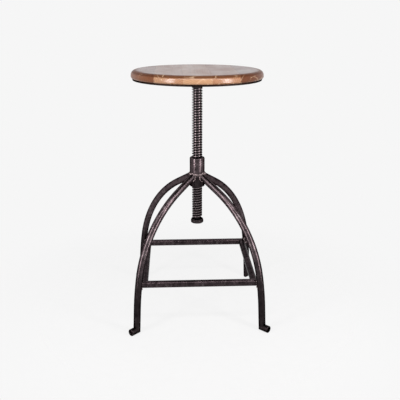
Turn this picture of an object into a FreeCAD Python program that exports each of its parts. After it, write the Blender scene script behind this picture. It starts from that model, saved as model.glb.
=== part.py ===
import FreeCAD, Part
import math
import os
import re

import Sketcher

# Screw-lift work stool: a round wooden seat on a threaded spindle that winds up and down through a
# hub, carried by four bent round bars with turned-out feet and tied by a square foot ring.
# Millimetres, +Z up. The origin is on the floor, on the spindle's axis. The front of the stool is -Y.

# Driving dimensions: alias, value, meaning.
SIZES = [
    # seat
    ("seat_height", 682.0, "floor to the top of the seat as it stands, wound partly up"),
    ("seat_diameter", 350.0, "widest diameter of the wooden seat"),
    ("seat_thickness", 21.0, "wood, top to underside"),
    ("seat_shoulder", 13.0, "radius of the rounded upper edge"),
    ("seat_under_radius", 5.0, "radius of the lower edge"),
    ("board_width", 70.0, "width of one glued board"),
    ("board_count", 5.0, "boards across the seat"),
    ("board_shift", -6.0, "how far the middle board's centre lies from the axis"),
    # sheet pan under the wood
    ("pan_inset", 4.0, "from the seat's edge in to the pan's rim"),
    ("pan_gauge", 2.0, "sheet thickness"),
    ("pan_rim", 4.6, "height of the rim, sheet included"),
    ("pan_round", 1.2, "rounding of the pan's outer edge"),
    # screws through the pan into the wood
    ("screw_inset", 26.0, "from the pan's rim in to the screws"),
    ("screw_count", 6.0, "screws on the circle"),
    ("screw_shank", 4.5, "shank diameter"),
    ("screw_bite", 13.0, "depth of the screw in the wood"),
    ("screw_head", 9.0, "head diameter"),
    ("screw_head_height", 2.6, "height of the rounded head"),
    ("screw_crown", 5.0, "flat across the crown of the head"),
    ("screw_cheek", 7.9, "head diameter where it turns in to the crown"),
    ("screw_cheek_drop", 1.6, "from the pan down to that turn"),
    ("screw_slot", 1.2, "width of the driver slot"),
    ("screw_slot_depth", 1.2, "depth of the driver slot"),
    # flange on the spindle's head and its bolts
    ("flange_diameter", 92.0, "round flange under the pan"),
    ("flange_thickness", 6.0, "flange plate"),
    ("boss_diameter", 42.0, "boss around the spindle"),
    ("boss_height", 11.0, "boss below the flange plate"),
    ("flange_chamfer", 1.0, "broken lower edge of the flange"),
    ("bolt_circle", 64.0, "pitch circle diameter"),
    ("bolt_count", 4.0, "bolts on the circle"),
    ("bolt_shank", 8.0, "shank diameter"),
    ("bolt_bite", 14.0, "depth of the bolt in the wood"),
    ("bolt_head", 13.0, "hexagon across its flats"),
    ("bolt_head_height", 5.3, "height of the hexagon"),
    # spindle
    ("crest_diameter", 28.0, "over the thread crests"),
    ("root_diameter", 22.0, "at the thread roots"),
    ("thread_pitch", 7.0, "rise of one turn, right-hand"),
    ("crest_width", 2.3, "thread width at the crest"),
    ("root_width", 2.3, "groove width at the root"),
    ("thread_seat", 0.4, "how far the ridge is let into the core"),
    ("shank_diameter", 28.6, "plain head of the spindle"),
    ("shank_length", 30.0, "plain head, from the pan down"),
    ("shoulder_height", 266.0, "floor to the lower end of the thread as it stands"),
    # end stop
    ("journal_diameter", 17.0, "plain lower end of the spindle"),
    ("washer_diameter", 33.4, "loose stop washer"),
    ("washer_thickness", 3.0, "loose stop washer"),
    ("washer_chamfer", 0.6, "broken upper edge of the washer"),
    ("collar_diameter", 35.6, "pinned stop collar"),
    ("collar_height", 8.0, "pinned stop collar"),
    ("collar_round", 2.8, "rounding of the collar's lower edge"),
    ("collar_break", 1.0, "rounding of the collar's upper edge"),
    ("pin_diameter", 5.0, "cross pin through collar and journal"),
    ("pin_sink", 0.5, "how far each end of the pin lies below the collar's skin"),
    # hub
    ("hub_diameter", 41.4, "outside of the hub"),
    ("hub_bottom", 363.5, "floor to the underside of the hub"),
    ("hub_length", 82.0, "hub, end to end"),
    ("hub_round", 4.0, "rounding of the upper outer edge"),
    ("mouth_chamfer", 1.0, "chamfer at both mouths of the threaded bore"),
    # legs
    ("bar_diameter", 19.0, "round bar of the legs, feet and ring"),
    ("crown_height", 401.7, "height at which the leg centrelines would meet on the axis"),
    ("crown_slope", 28.5, "fall of the upper run below the horizontal, degrees"),
    ("crown_run", 86.1, "upper straight run, measured from the axis"),
    ("knee_radius", 297.0, "main bend"),
    ("knee_slope", 79.4, "slope at the end of the main bend, degrees"),
    ("shin_radius", 723.6, "easy bend below it"),
    ("shin_slope", 86.4, "slope of the lower straight run, degrees"),
    # feet
    ("toe_reach", 22.4, "from the leg's centreline to the end of the foot"),
    ("sole_flat", 0.4, "depth of the worn flat under the foot"),
    ("toe_chamfer", 1.0, "broken edge of the foot's end"),
    # foot ring
    ("ring_height", 132.6, "floor to the ring's centreline"),
    ("ring_bite", 1.9, "how far a mitred corner is let into its leg"),
    # welds
    ("hub_bead", 3.0, "bead radius around the hub above the legs"),
    ("saddle_bead", 2.4, "bead radius around the end of each leg"),
    ("ring_bead", 8.0, "radius of the weld at each ring corner"),
    ("flange_bead", 2.5, "bead radius under the boss"),
    # clearances
    ("thread_gap", 0.35, "between spindle and hub, all along the thread"),
    ("washer_gap", 0.3, "washer to shoulder, collar and journal"),
    ("press_gap", 0.05, "around fixed fits"),
    ("hole_depth_gap", 1.0, "past the points of the screws and bolts"),
]

CORNERS = {"rear_right": 45.0, "rear_left": 135.0, "front_left": 225.0, "front_right": 315.0}
SIDES = {"front": 0.0, "right": 90.0, "rear": 180.0, "left": 270.0}
Z_AXIS = FreeCAD.Vector(0, 0, 1)

doc = FreeCAD.newDocument("Stool")
sheet = doc.addObject("Spreadsheet::Sheet", "Dims")
for row, (alias, number, meaning) in enumerate(SIZES, start=1):
    sheet.set(f"A{row}", alias)
    sheet.set(f"B{row}", str(number))
    sheet.setAlias(f"B{row}", alias)
    sheet.set(f"C{row}", meaning)
doc.recompute()
ALIAS = re.compile(r"\b(" + "|".join(alias for alias, _, _ in SIZES) + r")\b")

# Sizes worked out from the driving ones.
WOOD_BOTTOM = "(seat_height - seat_thickness)"
PAN_DIAMETER = "(seat_diameter - 2 * pan_inset)"
SCREW_CIRCLE = f"({PAN_DIAMETER} - 2 * screw_inset)"
PAN_BOTTOM = f"({WOOD_BOTTOM} - pan_gauge)"
FLANGE_BOTTOM = f"({PAN_BOTTOM} - flange_thickness)"
BOSS_BOTTOM = f"({FLANGE_BOTTOM} - boss_height)"
SHANK_BOTTOM = f"({PAN_BOTTOM} - shank_length)"
WASHER_TOP = "(shoulder_height - washer_gap)"
COLLAR_TOP = f"({WASHER_TOP} - washer_thickness - washer_gap)"
COLLAR_BOTTOM = f"({COLLAR_TOP} - collar_height)"
HUB_TOP = "(hub_bottom + hub_length)"
BAR = "(bar_diameter / 2)"
SOLE_CENTRE = f"({BAR} - sole_flat)"
SCREW_HOLE = "(screw_shank + 2 * press_gap)"
BOLT_HOLE = "(bolt_shank + 2 * press_gap)"
# The leg's centreline, as radius and height: upper run, main bend, easy bend, lower run.
KNEE_X = "(crown_run * cos(crown_slope))"
KNEE_Z = "(crown_height - crown_run * sin(crown_slope))"
SHIN_X = f"({KNEE_X} + knee_radius * (sin(knee_slope) - sin(crown_slope)))"
SHIN_Z = f"({KNEE_Z} - knee_radius * (cos(crown_slope) - cos(knee_slope)))"
LOW_X = f"({SHIN_X} + shin_radius * (sin(shin_slope) - sin(knee_slope)))"
LOW_Z = f"({SHIN_Z} - shin_radius * (cos(knee_slope) - cos(shin_slope)))"
ANKLE_X = f"({LOW_X} + ({LOW_Z} - {SOLE_CENTRE}) / tan(shin_slope))"
MITRE = "(90 - shin_slope / 2)"
TOE_X = f"({ANKLE_X} + toe_reach)"
# The ring's corners lie against the inside of the legs, in the easy bend.
SHIN_CENTRE_X = f"({SHIN_X} - shin_radius * sin(knee_slope))"
SHIN_CENTRE_Z = f"({SHIN_Z} - shin_radius * cos(knee_slope))"
LEG_AT_RING = f"({SHIN_CENTRE_X} + sqrt(shin_radius ^ 2 - (ring_height - {SHIN_CENTRE_Z}) ^ 2))"
RING_CORNER = f"({LEG_AT_RING} - {BAR})"
RING_HALF = f"(({RING_CORNER} + ring_bite) / sqrt(2) - {BAR})"


def bound(text):
    """The expression with every alias written as a cell of the sheet."""
    return ALIAS.sub(r"Dims.\1", text)


def value(text):
    """The number that an expression gives now."""
    return float(sheet.evalExpression(ALIAS.sub(r"\1", text)))


def bind(thing, prop, text):
    """Ties a property to an expression of the sheet's sizes."""
    thing.setExpression(prop, bound(text))


def new_body(label, angle=0.0):
    """An empty body, turned about the spindle's axis."""
    body = doc.addObject("PartDesign::Body", "Body")
    body.Label = label
    body.AllowCompound = True
    body.Placement = FreeCAD.Placement(FreeCAD.Vector(0, 0, 0), FreeCAD.Rotation(Z_AXIS, angle))
    return body


def origin_feature(body, role):
    """One of the body's own origin planes or axes."""
    return next(f for f in body.Origin.OriginFeatures if f.Role == role)


def new_sketch(body, name, role, level=None):
    """An empty sketch on an origin plane, moved along the plane's normal by the level."""
    sketch = body.newObject("Sketcher::SketchObject", name)
    sketch.AttachmentSupport = (origin_feature(body, role), [""])
    sketch.MapMode = "FlatFace"
    if level is not None:
        bind(sketch, "AttachmentOffset.Base.z", level)
    return sketch


def pin_point(sketch, geometry, end, x, y):
    """Holds a point of the sketch at two expressions."""
    for kind, text in (("DistanceX", x), ("DistanceY", y)):
        index = sketch.addConstraint(Sketcher.Constraint(kind, -1, 1, geometry, end, value(text)))
        bind(sketch, f"Constraints[{index}]", text)


def add_loop(sketch, corners):
    """Adds a closed outline whose corners are pairs of expressions."""
    first = sketch.GeometryCount
    points = [FreeCAD.Vector(value(x), value(y), 0) for x, y in corners]
    count = len(points)
    for i in range(count):
        sketch.addGeometry(Part.LineSegment(points[i], points[(i + 1) % count]), False)
    for i in range(count):
        following = first + (i + 1) % count
        sketch.addConstraint(Sketcher.Constraint("Coincident", first + i, 2, following, 1))
    for i, (x, y) in enumerate(corners):
        pin_point(sketch, first + i, 1, x, y)


def add_circle(sketch, x, y, radius):
    """Adds a circle with its centre and radius held by expressions."""
    centre = FreeCAD.Vector(value(x), value(y), 0)
    index = sketch.addGeometry(Part.Circle(centre, Z_AXIS, value(radius)), False)
    pin_point(sketch, index, 3, x, y)
    size = sketch.addConstraint(Sketcher.Constraint("Radius", index, value(radius)))
    bind(sketch, f"Constraints[{size}]", radius)


def revolve(body, corners, name="Turning"):
    """A solid turned about Z from an outline of radius and height."""
    sketch = new_sketch(body, name + "Profile", "XZ_Plane")
    add_loop(sketch, corners)
    turning = body.newObject("PartDesign::Revolution", name)
    turning.Profile = sketch
    turning.ReferenceAxis = (sketch, ["V_Axis"])
    turning.Angle = 360
    doc.recompute()
    return turning


def cut(body, sketch, depth, upward=False, both_ways=False, name="Pocket"):
    """A pocket of the given depth, which has to take something away."""
    before = body.Shape.Volume
    pocket = body.newObject("PartDesign::Pocket", name)
    pocket.Profile = sketch
    bind(pocket, "Length", depth)
    pocket.Reversed = upward
    pocket.Midplane = both_ways
    doc.recompute()
    if body.Shape.Volume > before - 1e-3:
        raise RuntimeError(f"{body.Label}: {name} took nothing away")
    return pocket


def repeat(body, features, count):
    """Repeats features around the spindle's axis."""
    pattern = body.newObject("PartDesign::PolarPattern", "Ring")
    pattern.Originals = features
    pattern.Axis = (origin_feature(body, "Z_Axis"), [""])
    pattern.Angle = 360
    bind(pattern, "Occurrences", count)
    body.Tip = pattern
    doc.recompute()
    return pattern


def drill_circle(body, level, circle, diameter, depth, count, turn):
    """A ring of round holes that go up from a level."""
    sketch = new_sketch(body, "HolePlace", "XY_Plane", level)
    centre = (f"{circle} / 2 * cos({turn})", f"{circle} / 2 * sin({turn})")
    add_circle(sketch, *centre, f"({diameter}) / 2")
    hole = cut(body, sketch, depth, upward=True, name="Hole")
    repeat(body, [hole], count)


def edges_at(body, test):
    """Names of the body's edges that pass a test, for a fillet or chamfer."""
    return [f"Edge{i}" for i, edge in enumerate(body.Shape.Edges, start=1) if test(edge)]


def level_circles(body, diameter, level):
    """Names of the round edges of one diameter at one level."""
    radius, height = value(diameter) / 2, value(level)

    def is_level_circle(edge):
        curve = edge.Curve
        return (
            isinstance(curve, Part.Circle)
            and abs(curve.Radius - radius) < 1e-3
            and abs(curve.Center.z - height) < 1e-3
        )

    return edges_at(body, is_level_circle)


def soften(body, kind, edges, size):
    """A PartDesign::Fillet or PartDesign::Chamfer on named edges."""
    base = body.Tip
    feature = body.newObject("PartDesign::" + kind, kind)
    feature.Base = (base, edges)
    bind(feature, "Radius" if kind == "Fillet" else "Size", size)
    body.Tip = feature
    doc.recompute()
    return feature


def thread_outline(gap):
    """Outline of the thread ridge, a trapezium, grown by a gap and let into the core."""
    crest = f"(crest_diameter / 2 + {gap})"
    at_crest = f"(crest_width / 2 + {gap})"
    slope = "((thread_pitch - root_width - crest_width) / (crest_diameter - root_diameter))"
    inside = "(root_diameter / 2 - thread_seat)"
    at_inside = f"({at_crest} + {slope} * ({crest} - {inside}))"
    lower = [(inside, f"-1 * {at_inside}"), (crest, f"-1 * {at_crest}")]
    upper = [(crest, at_crest), (inside, at_inside)]
    return lower + upper


def add_thread(body, kind, gap, start, height):
    """A helical ridge or groove about Z whose middle starts at a height on the +X side."""
    sketch = new_sketch(body, "ThreadProfile", "XZ_Plane")
    add_loop(sketch, [(r, f"{start} + {w}") for r, w in thread_outline(gap)])
    before = body.Shape.Volume
    helix = body.newObject("PartDesign::" + kind, "Thread")
    helix.Profile = sketch
    helix.ReferenceAxis = (sketch, ["V_Axis"])
    helix.Mode = 0
    bind(helix, "Pitch", "thread_pitch")
    bind(helix, "Height", height)
    doc.recompute()
    grown = body.Shape.Volume - before
    if abs(grown) < 1 or (grown > 0) != (kind == "AdditiveHelix"):
        raise RuntimeError(f"{body.Label}: the thread changed the volume by {grown:.1f}")


def make_seat_boards():
    """The seat, glued up from boards that run front to back, turned round and drilled for its screws."""
    blank = new_body("seat_blank")
    rim = "seat_diameter / 2"
    outline = [("0", WOOD_BOTTOM), (rim, WOOD_BOTTOM), (rim, "seat_height"), ("0", "seat_height")]
    revolve(blank, outline)
    soften(blank, "Fillet", level_circles(blank, "seat_diameter", "seat_height"), "seat_shoulder")
    soften(blank, "Fillet", level_circles(blank, "seat_diameter", WOOD_BOTTOM), "seat_under_radius")
    pilot = "screw_bite + hole_depth_gap"
    drill_circle(blank, WOOD_BOTTOM, SCREW_CIRCLE, SCREW_HOLE, pilot, "screw_count", "0")
    pilot = "bolt_bite + hole_depth_gap"
    drill_circle(blank, WOOD_BOTTOM, "bolt_circle", BOLT_HOLE, pilot, "bolt_count", "45")
    boards = []
    count = int(value("board_count"))
    for i in range(count):
        strip = doc.addObject("Part::Box", "Strip")
        left = f"board_shift + board_width * ({i} - board_count / 2)"
        outer = i in (0, count - 1)
        width = "seat_diameter" if outer else "board_width"
        start = f"{left} + board_width - seat_diameter" if i == 0 else left
        bind(strip, "Length", width)
        bind(strip, "Width", "seat_diameter + 2")
        bind(strip, "Height", "seat_thickness + 2")
        bind(strip, "Placement.Base.x", start)
        bind(strip, "Placement.Base.y", "-seat_diameter / 2 - 1")
        bind(strip, "Placement.Base.z", f"{WOOD_BOTTOM} - 1")
        board = doc.addObject("Part::MultiCommon", "Board")
        board.Shapes = [blank, strip]
        board.Label = f"seat_board_{i + 1}"
        boards.append(board)
    return boards


def make_seat_pan():
    """Sheet pan that carries the wood, with a turned-down rim."""
    pan = new_body("seat_pan")
    rim, inner = f"{PAN_DIAMETER} / 2", f"{PAN_DIAMETER} / 2 - pan_gauge"
    lip = f"{WOOD_BOTTOM} - pan_rim"
    outline = [
        ("0", PAN_BOTTOM),
        (inner, PAN_BOTTOM),
        (inner, lip),
        (rim, lip),
        (rim, WOOD_BOTTOM),
        ("0", WOOD_BOTTOM),
    ]
    revolve(pan, outline)
    soften(pan, "Fillet", level_circles(pan, PAN_DIAMETER, WOOD_BOTTOM), "pan_round")
    drill_circle(pan, PAN_BOTTOM, SCREW_CIRCLE, SCREW_HOLE, "pan_gauge", "screw_count", "0")
    drill_circle(pan, PAN_BOTTOM, "bolt_circle", BOLT_HOLE, "pan_gauge", "bolt_count", "45")
    return pan


def make_pan_screws():
    """Slotted round-head wood screws, point up, on their circle."""
    screws = new_body("pan_screws")
    head_low = f"{PAN_BOTTOM} - screw_head_height"
    tip = f"{WOOD_BOTTOM} + screw_bite"
    place = f"{SCREW_CIRCLE} / 2"
    outline = [
        (place, head_low),
        (f"{place} + screw_crown / 2", head_low),
        (f"{place} + screw_cheek / 2", f"{PAN_BOTTOM} - screw_cheek_drop"),
        (f"{place} + screw_head / 2", PAN_BOTTOM),
        (f"{place} + screw_shank / 2", PAN_BOTTOM),
        (f"{place} + screw_shank / 2", f"{tip} - screw_shank"),
        (place, tip),
    ]
    sketch = new_sketch(screws, "ScrewProfile", "XZ_Plane")
    add_loop(sketch, outline)
    turning = screws.newObject("PartDesign::Revolution", "Screw")
    turning.Profile = sketch
    turning.ReferenceAxis = (sketch, [f"Edge{len(outline)}"])
    turning.Angle = 360
    doc.recompute()
    slot_sketch = new_sketch(screws, "SlotPlace", "XY_Plane", head_low)
    sides = [("1", "-1"), ("1", "1"), ("-1", "1"), ("-1", "-1")]
    corners = [(f"{place} + {i} * screw_head", f"{j} * screw_slot / 2") for i, j in sides]
    add_loop(slot_sketch, corners)
    slot = cut(screws, slot_sketch, "screw_slot_depth", upward=True, name="Slot")
    repeat(screws, [turning, slot], "screw_count")
    return screws


def make_flange():
    """Round flange with a boss below it, bored for the spindle's head."""
    flange = new_body("spindle_flange")
    bore = "shank_diameter / 2 + press_gap"
    outline = [
        (bore, BOSS_BOTTOM),
        ("boss_diameter / 2", BOSS_BOTTOM),
        ("boss_diameter / 2", FLANGE_BOTTOM),
        ("flange_diameter / 2", FLANGE_BOTTOM),
        ("flange_diameter / 2", PAN_BOTTOM),
        (bore, PAN_BOTTOM),
    ]
    revolve(flange, outline)
    lower_edge = level_circles(flange, "flange_diameter", FLANGE_BOTTOM)
    soften(flange, "Chamfer", lower_edge, "flange_chamfer")
    depth = "flange_thickness"
    drill_circle(flange, FLANGE_BOTTOM, "bolt_circle", BOLT_HOLE, depth, "bolt_count", "45")
    return flange


def make_flange_bolts():
    """Hexagon bolts up through the flange and the pan into the wood."""
    bolts = new_body("flange_bolts")
    centre = ("bolt_circle / 2 * cos(45)", "bolt_circle / 2 * sin(45)")
    hexagon = new_sketch(bolts, "HexPlace", "XY_Plane", f"{FLANGE_BOTTOM} - bolt_head_height")
    corner = "bolt_head / 2 / cos(30)"
    corners = []
    for angle in range(0, 360, 60):
        x = f"{centre[0]} + {corner} * cos({angle})"
        y = f"{centre[1]} + {corner} * sin({angle})"
        corners.append((x, y))
    add_loop(hexagon, corners)
    head = bolts.newObject("PartDesign::Pad", "Head")
    head.Profile = hexagon
    bind(head, "Length", "bolt_head_height")
    round_place = new_sketch(bolts, "ShankPlace", "XY_Plane", FLANGE_BOTTOM)
    add_circle(round_place, *centre, "bolt_shank / 2")
    shank = bolts.newObject("PartDesign::Pad", "Shank")
    shank.Profile = round_place
    bind(shank, "Length", "flange_thickness + pan_gauge + bolt_bite")
    doc.recompute()
    repeat(bolts, [head, shank], "bolt_count")
    return bolts


def make_spindle():
    """Threaded spindle: plain head in the flange, thread, and a plain journal that carries the stop."""
    spindle = new_body("spindle")
    head, core, journal = "shank_diameter / 2", "root_diameter / 2", "journal_diameter / 2"
    outline = [
        ("0", COLLAR_BOTTOM),
        (journal, COLLAR_BOTTOM),
        (journal, "shoulder_height"),
        (core, "shoulder_height"),
        (core, SHANK_BOTTOM),
        (head, SHANK_BOTTOM),
        (head, PAN_BOTTOM),
        ("0", PAN_BOTTOM),
    ]
    revolve(spindle, outline)
    start = "(shoulder_height + thread_pitch / 2)"
    add_thread(spindle, "AdditiveHelix", "0", start, f"{SHANK_BOTTOM} - {start}")
    add_pin_hole(spindle)
    return spindle


def add_pin_hole(body):
    """The cross hole for the stop's pin."""
    sketch = new_sketch(body, "PinHole", "XZ_Plane")
    add_circle(sketch, "0", f"{COLLAR_BOTTOM} + collar_height / 2", "pin_diameter / 2 + press_gap")
    cut(body, sketch, "collar_diameter + 2", both_ways=True, name="PinBore")


def make_stop():
    """Loose washer, pinned collar and cross pin at the spindle's lower end."""
    washer = new_body("stop_washer")
    bore, rim = "journal_diameter / 2 + washer_gap", "washer_diameter / 2"
    low = f"{WASHER_TOP} - washer_thickness"
    revolve(washer, [(bore, low), (rim, low), (rim, WASHER_TOP), (bore, WASHER_TOP)])
    upper_edge = level_circles(washer, "washer_diameter", WASHER_TOP)
    soften(washer, "Chamfer", upper_edge, "washer_chamfer")

    collar = new_body("stop_collar")
    bore, rim = "journal_diameter / 2 + press_gap", "collar_diameter / 2"
    ends = [(rim, COLLAR_BOTTOM), (rim, COLLAR_TOP)]
    revolve(collar, [(bore, COLLAR_BOTTOM), *ends, (bore, COLLAR_TOP)])
    for level, size in ((COLLAR_BOTTOM, "collar_round"), (COLLAR_TOP, "collar_break")):
        soften(collar, "Fillet", level_circles(collar, "collar_diameter", level), size)
    add_pin_hole(collar)

    pin = new_body("stop_pin")
    sketch = new_sketch(pin, "PinPlace", "XZ_Plane")
    add_circle(sketch, "0", f"{COLLAR_BOTTOM} + collar_height / 2", "pin_diameter / 2")
    rod = pin.newObject("PartDesign::Pad", "Rod")
    rod.Profile = sketch
    rod.Midplane = True
    bind(rod, "Length", "collar_diameter - 2 * pin_sink")
    doc.recompute()
    return [washer, collar, pin]


def make_hub():
    """Hub with a rounded upper edge and an internal thread in step with the spindle's."""
    hub = new_body("hub")
    bore, rim = "root_diameter / 2 + thread_gap", "hub_diameter / 2"
    outline = [
        (bore, "hub_bottom + mouth_chamfer"),
        (f"{bore} + mouth_chamfer", "hub_bottom"),
        (rim, "hub_bottom"),
        (rim, HUB_TOP),
        (f"{bore} + mouth_chamfer", HUB_TOP),
        (bore, f"{HUB_TOP} - mouth_chamfer"),
    ]
    revolve(hub, outline)
    soften(hub, "Fillet", level_circles(hub, "hub_diameter", HUB_TOP), "hub_round")
    # The groove starts a whole number of turns above the spindle's ridge, just below the hub.
    first = "shoulder_height + thread_pitch / 2"
    turns_below = f"floor((hub_bottom - ({first})) / thread_pitch) - 1"
    start = f"{first} + thread_pitch * ({turns_below})"
    add_thread(hub, "SubtractiveHelix", "thread_gap", start, "hub_length + 3 * thread_pitch")
    return hub


def add_arc(sketch, centre, radius, steep, shallow):
    """Adds an arc of the leg's centreline; its ends are named by the slope of the bar there."""
    middle = FreeCAD.Vector(value(centre[0]), value(centre[1]), 0)
    circle = Part.Circle(middle, Z_AXIS, value(radius))
    low, high = math.radians(90 - value(steep)), math.radians(90 - value(shallow))
    index = sketch.addGeometry(Part.ArcOfCircle(circle, low, high), False)
    size = sketch.addConstraint(Sketcher.Constraint("Radius", index, value(radius)))
    bind(sketch, f"Constraints[{size}]", radius)
    return index


def leg_path(leg):
    """The bent centreline: straight, main bend, easy bend, straight and on past the ankle."""
    path = new_sketch(leg, "Centreline", "XZ_Plane")
    over = "bar_diameter * 1.5"
    end = (f"{ANKLE_X} + {over} * cos(shin_slope)", f"{SOLE_CENTRE} - {over} * sin(shin_slope)")
    stops = [("0", "crown_height"), (KNEE_X, KNEE_Z), (SHIN_X, SHIN_Z), (LOW_X, LOW_Z), end]
    points = [FreeCAD.Vector(value(x), value(z), 0) for x, z in stops]
    upper = path.addGeometry(Part.LineSegment(points[0], points[1]), False)
    knee_x = f"{KNEE_X} - knee_radius * sin(crown_slope)"
    knee_z = f"{KNEE_Z} - knee_radius * cos(crown_slope)"
    knee = add_arc(path, (knee_x, knee_z), "knee_radius", "knee_slope", "crown_slope")
    shin = add_arc(path, (SHIN_CENTRE_X, SHIN_CENTRE_Z), "shin_radius", "shin_slope", "knee_slope")
    lower = path.addGeometry(Part.LineSegment(points[3], points[4]), False)
    # An arc runs the way the slope falls, so it ends at its upper point.
    for joint in ((upper, 2, knee, 2), (knee, 1, shin, 2), (shin, 1, lower, 1)):
        path.addConstraint(Sketcher.Constraint("Coincident", *joint))
    pin_point(path, upper, 1, *stops[0])
    pin_point(path, knee, 2, *stops[1])
    pin_point(path, shin, 2, *stops[2])
    pin_point(path, lower, 1, *stops[3])
    pin_point(path, lower, 2, *stops[4])
    return path


def cut_at_mitre(body, keep_leg):
    """Takes away what lies past the mitre plane of the ankle, on the foot's or the leg's side."""
    reach = "(bar_diameter * 3)"
    along = (f"{reach} * cos{MITRE}", f"{reach} * sin{MITRE}")
    sign = "1" if keep_leg else "-1"
    across = (f"{sign} * {reach} * sin{MITRE}", f"{sign} * -1 * {reach} * cos{MITRE}")
    corners = [
        (f"{ANKLE_X} - {along[0]}", f"{SOLE_CENTRE} - {along[1]}"),
        (f"{ANKLE_X} + {along[0]}", f"{SOLE_CENTRE} + {along[1]}"),
        (f"{ANKLE_X} + {along[0]} + {across[0]}", f"{SOLE_CENTRE} + {along[1]} + {across[1]}"),
        (f"{ANKLE_X} - {along[0]} + {across[0]}", f"{SOLE_CENTRE} - {along[1]} + {across[1]}"),
    ]
    sketch = new_sketch(body, "MitrePlace", "XZ_Plane")
    add_loop(sketch, corners)
    cut(body, sketch, "bar_diameter * 2", both_ways=True, name="Mitre")


def cut_at_floor(body):
    """Takes away what would reach below the floor, which leaves the worn flat of the sole."""
    sketch = new_sketch(body, "FloorPlace", "XY_Plane")
    near, far, side = f"{ANKLE_X} - bar_diameter * 2", f"{TOE_X} + 1", "bar_diameter"
    add_loop(sketch, [(near, f"-{side}"), (far, f"-{side}"), (far, side), (near, side)])
    cut(body, sketch, "bar_diameter", name="Sole")


def make_leg(name, angle):
    """One bent leg, saddled to the hub above and mitred for its foot below."""
    leg = new_body("leg_" + name, angle)
    path = leg_path(leg)
    section = new_sketch(leg, "Section", "YZ_Plane")
    bind(section, "AttachmentOffset.Base.y", "crown_height")
    section.setExpression("AttachmentOffset.Rotation.Angle", bound("crown_slope"))
    section.AttachmentOffset.Rotation.Axis = FreeCAD.Vector(1, 0, 0)
    add_circle(section, "0", "0", BAR)
    doc.recompute()
    bar = leg.newObject("PartDesign::AdditivePipe", "Bar")
    bar.Profile = section
    bar.Spine = (path, [f"Edge{i}" for i in range(1, 5)])
    doc.recompute()
    hub_place = new_sketch(leg, "HubPlace", "XY_Plane")
    add_circle(hub_place, "0", "0", "hub_diameter / 2")
    cut(leg, hub_place, "seat_height", upward=True, name="Saddle")
    cut_at_mitre(leg, keep_leg=True)
    cut_at_floor(leg)
    return leg


def make_foot(name, angle):
    """One turned-out foot: a bar stub mitred to its leg, flat below and with a broken end edge."""
    foot = new_body("foot_" + name, angle)
    section = new_sketch(foot, "Section", "YZ_Plane", f"{ANKLE_X} - bar_diameter * 1.5")
    add_circle(section, "0", SOLE_CENTRE, BAR)
    stub = foot.newObject("PartDesign::Pad", "Stub")
    stub.Profile = section
    bind(stub, "Length", "toe_reach + bar_diameter * 1.5")
    doc.recompute()
    toe = value(TOE_X)
    turn = foot.Placement.Rotation.inverted()

    def is_toe_edge(edge):
        return all(abs(turn.multVec(vertex.Point).x - toe) < 1e-3 for vertex in edge.Vertexes)

    soften(foot, "Chamfer", edges_at(foot, is_toe_edge), "toe_chamfer")
    cut_at_mitre(foot, keep_leg=False)
    cut_at_floor(foot)
    return foot


def make_stretcher(name, angle, legs):
    """One side of the foot ring, mitred at both ends and let into the legs."""
    bar = new_body("bar_" + name, angle)
    section = new_sketch(bar, "Section", "YZ_Plane")
    add_circle(section, f"-1 * {RING_HALF}", "ring_height", BAR)
    rod = bar.newObject("PartDesign::Pad", "Rod")
    rod.Profile = section
    rod.Midplane = True
    bind(rod, "Length", f"2 * {RING_HALF} + 2 * bar_diameter")
    doc.recompute()
    mitres = new_sketch(bar, "MitrePlace", "XY_Plane")
    near, far = f"({RING_HALF} - bar_diameter)", f"({RING_HALF} + bar_diameter * 1.5)"
    for sign in ("1", "-1"):
        add_loop(mitres, [
            (f"{sign} * {near}", f"-1 * {near}"),
            (f"{sign} * {far}", f"-1 * {far}"),
            (f"{sign} * {far}", f"-1 * {near}"),
        ])
    cut(bar, mitres, "ring_height + bar_diameter", upward=True, name="Mitres")
    return cut_away("stretcher_" + name, bar, legs)


def cut_away(label, base, tools):
    """A piece cut back to what it is welded against."""
    group = doc.addObject("Part::Compound", "Neighbours")
    group.Links = tools
    piece = doc.addObject("Part::Cut", "Fitted")
    piece.Base = base
    piece.Tool = group
    piece.Label = label
    doc.recompute()
    return piece


def make_hub_welds(hub, legs):
    """The bead around the hub above the legs, joined to the beads around the legs' ends."""
    ring = doc.addObject("Part::Torus", "HubBead")
    bind(ring, "Radius1", "hub_diameter / 2")
    bind(ring, "Radius2", "hub_bead")
    bind(ring, "Placement.Base.z", "crown_height - hub_bead")
    beads = [ring]
    for angle in CORNERS.values():
        bead = doc.addObject("Part::Torus", "SaddleBead")
        bind(bead, "Radius1", f"{BAR} + saddle_bead / 4")
        bind(bead, "Radius2", "saddle_bead")
        bind(bead, "Placement.Base.x", f"hub_diameter / 2 * cos({angle})")
        bind(bead, "Placement.Base.y", f"hub_diameter / 2 * sin({angle})")
        bind(bead, "Placement.Base.z", "crown_height - hub_diameter / 2 * tan(crown_slope)")
        outward = FreeCAD.Vector(math.cos(math.radians(angle)), math.sin(math.radians(angle)), 0)
        bead.Placement.Rotation = FreeCAD.Rotation(Z_AXIS, outward)
        beads.append(bead)
    whole = doc.addObject("Part::MultiFuse", "HubBeads")
    whole.Shapes = beads
    doc.recompute()
    return cut_away("hub_welds", whole, [hub] + legs)


def make_ring_welds(legs, stretchers):
    """A rounded weld where each ring corner meets its leg."""
    blobs = []
    for angle in CORNERS.values():
        blob = doc.addObject("Part::Sphere", "CornerWeld")
        bind(blob, "Radius", "ring_bead")
        bind(blob, "Placement.Base.x", f"{RING_CORNER} * cos({angle})")
        bind(blob, "Placement.Base.y", f"{RING_CORNER} * sin({angle})")
        bind(blob, "Placement.Base.z", "ring_height")
        blobs.append(blob)
    group = doc.addObject("Part::Compound", "CornerWelds")
    group.Links = blobs
    doc.recompute()
    return cut_away("ring_welds", group, legs + stretchers)


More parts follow.
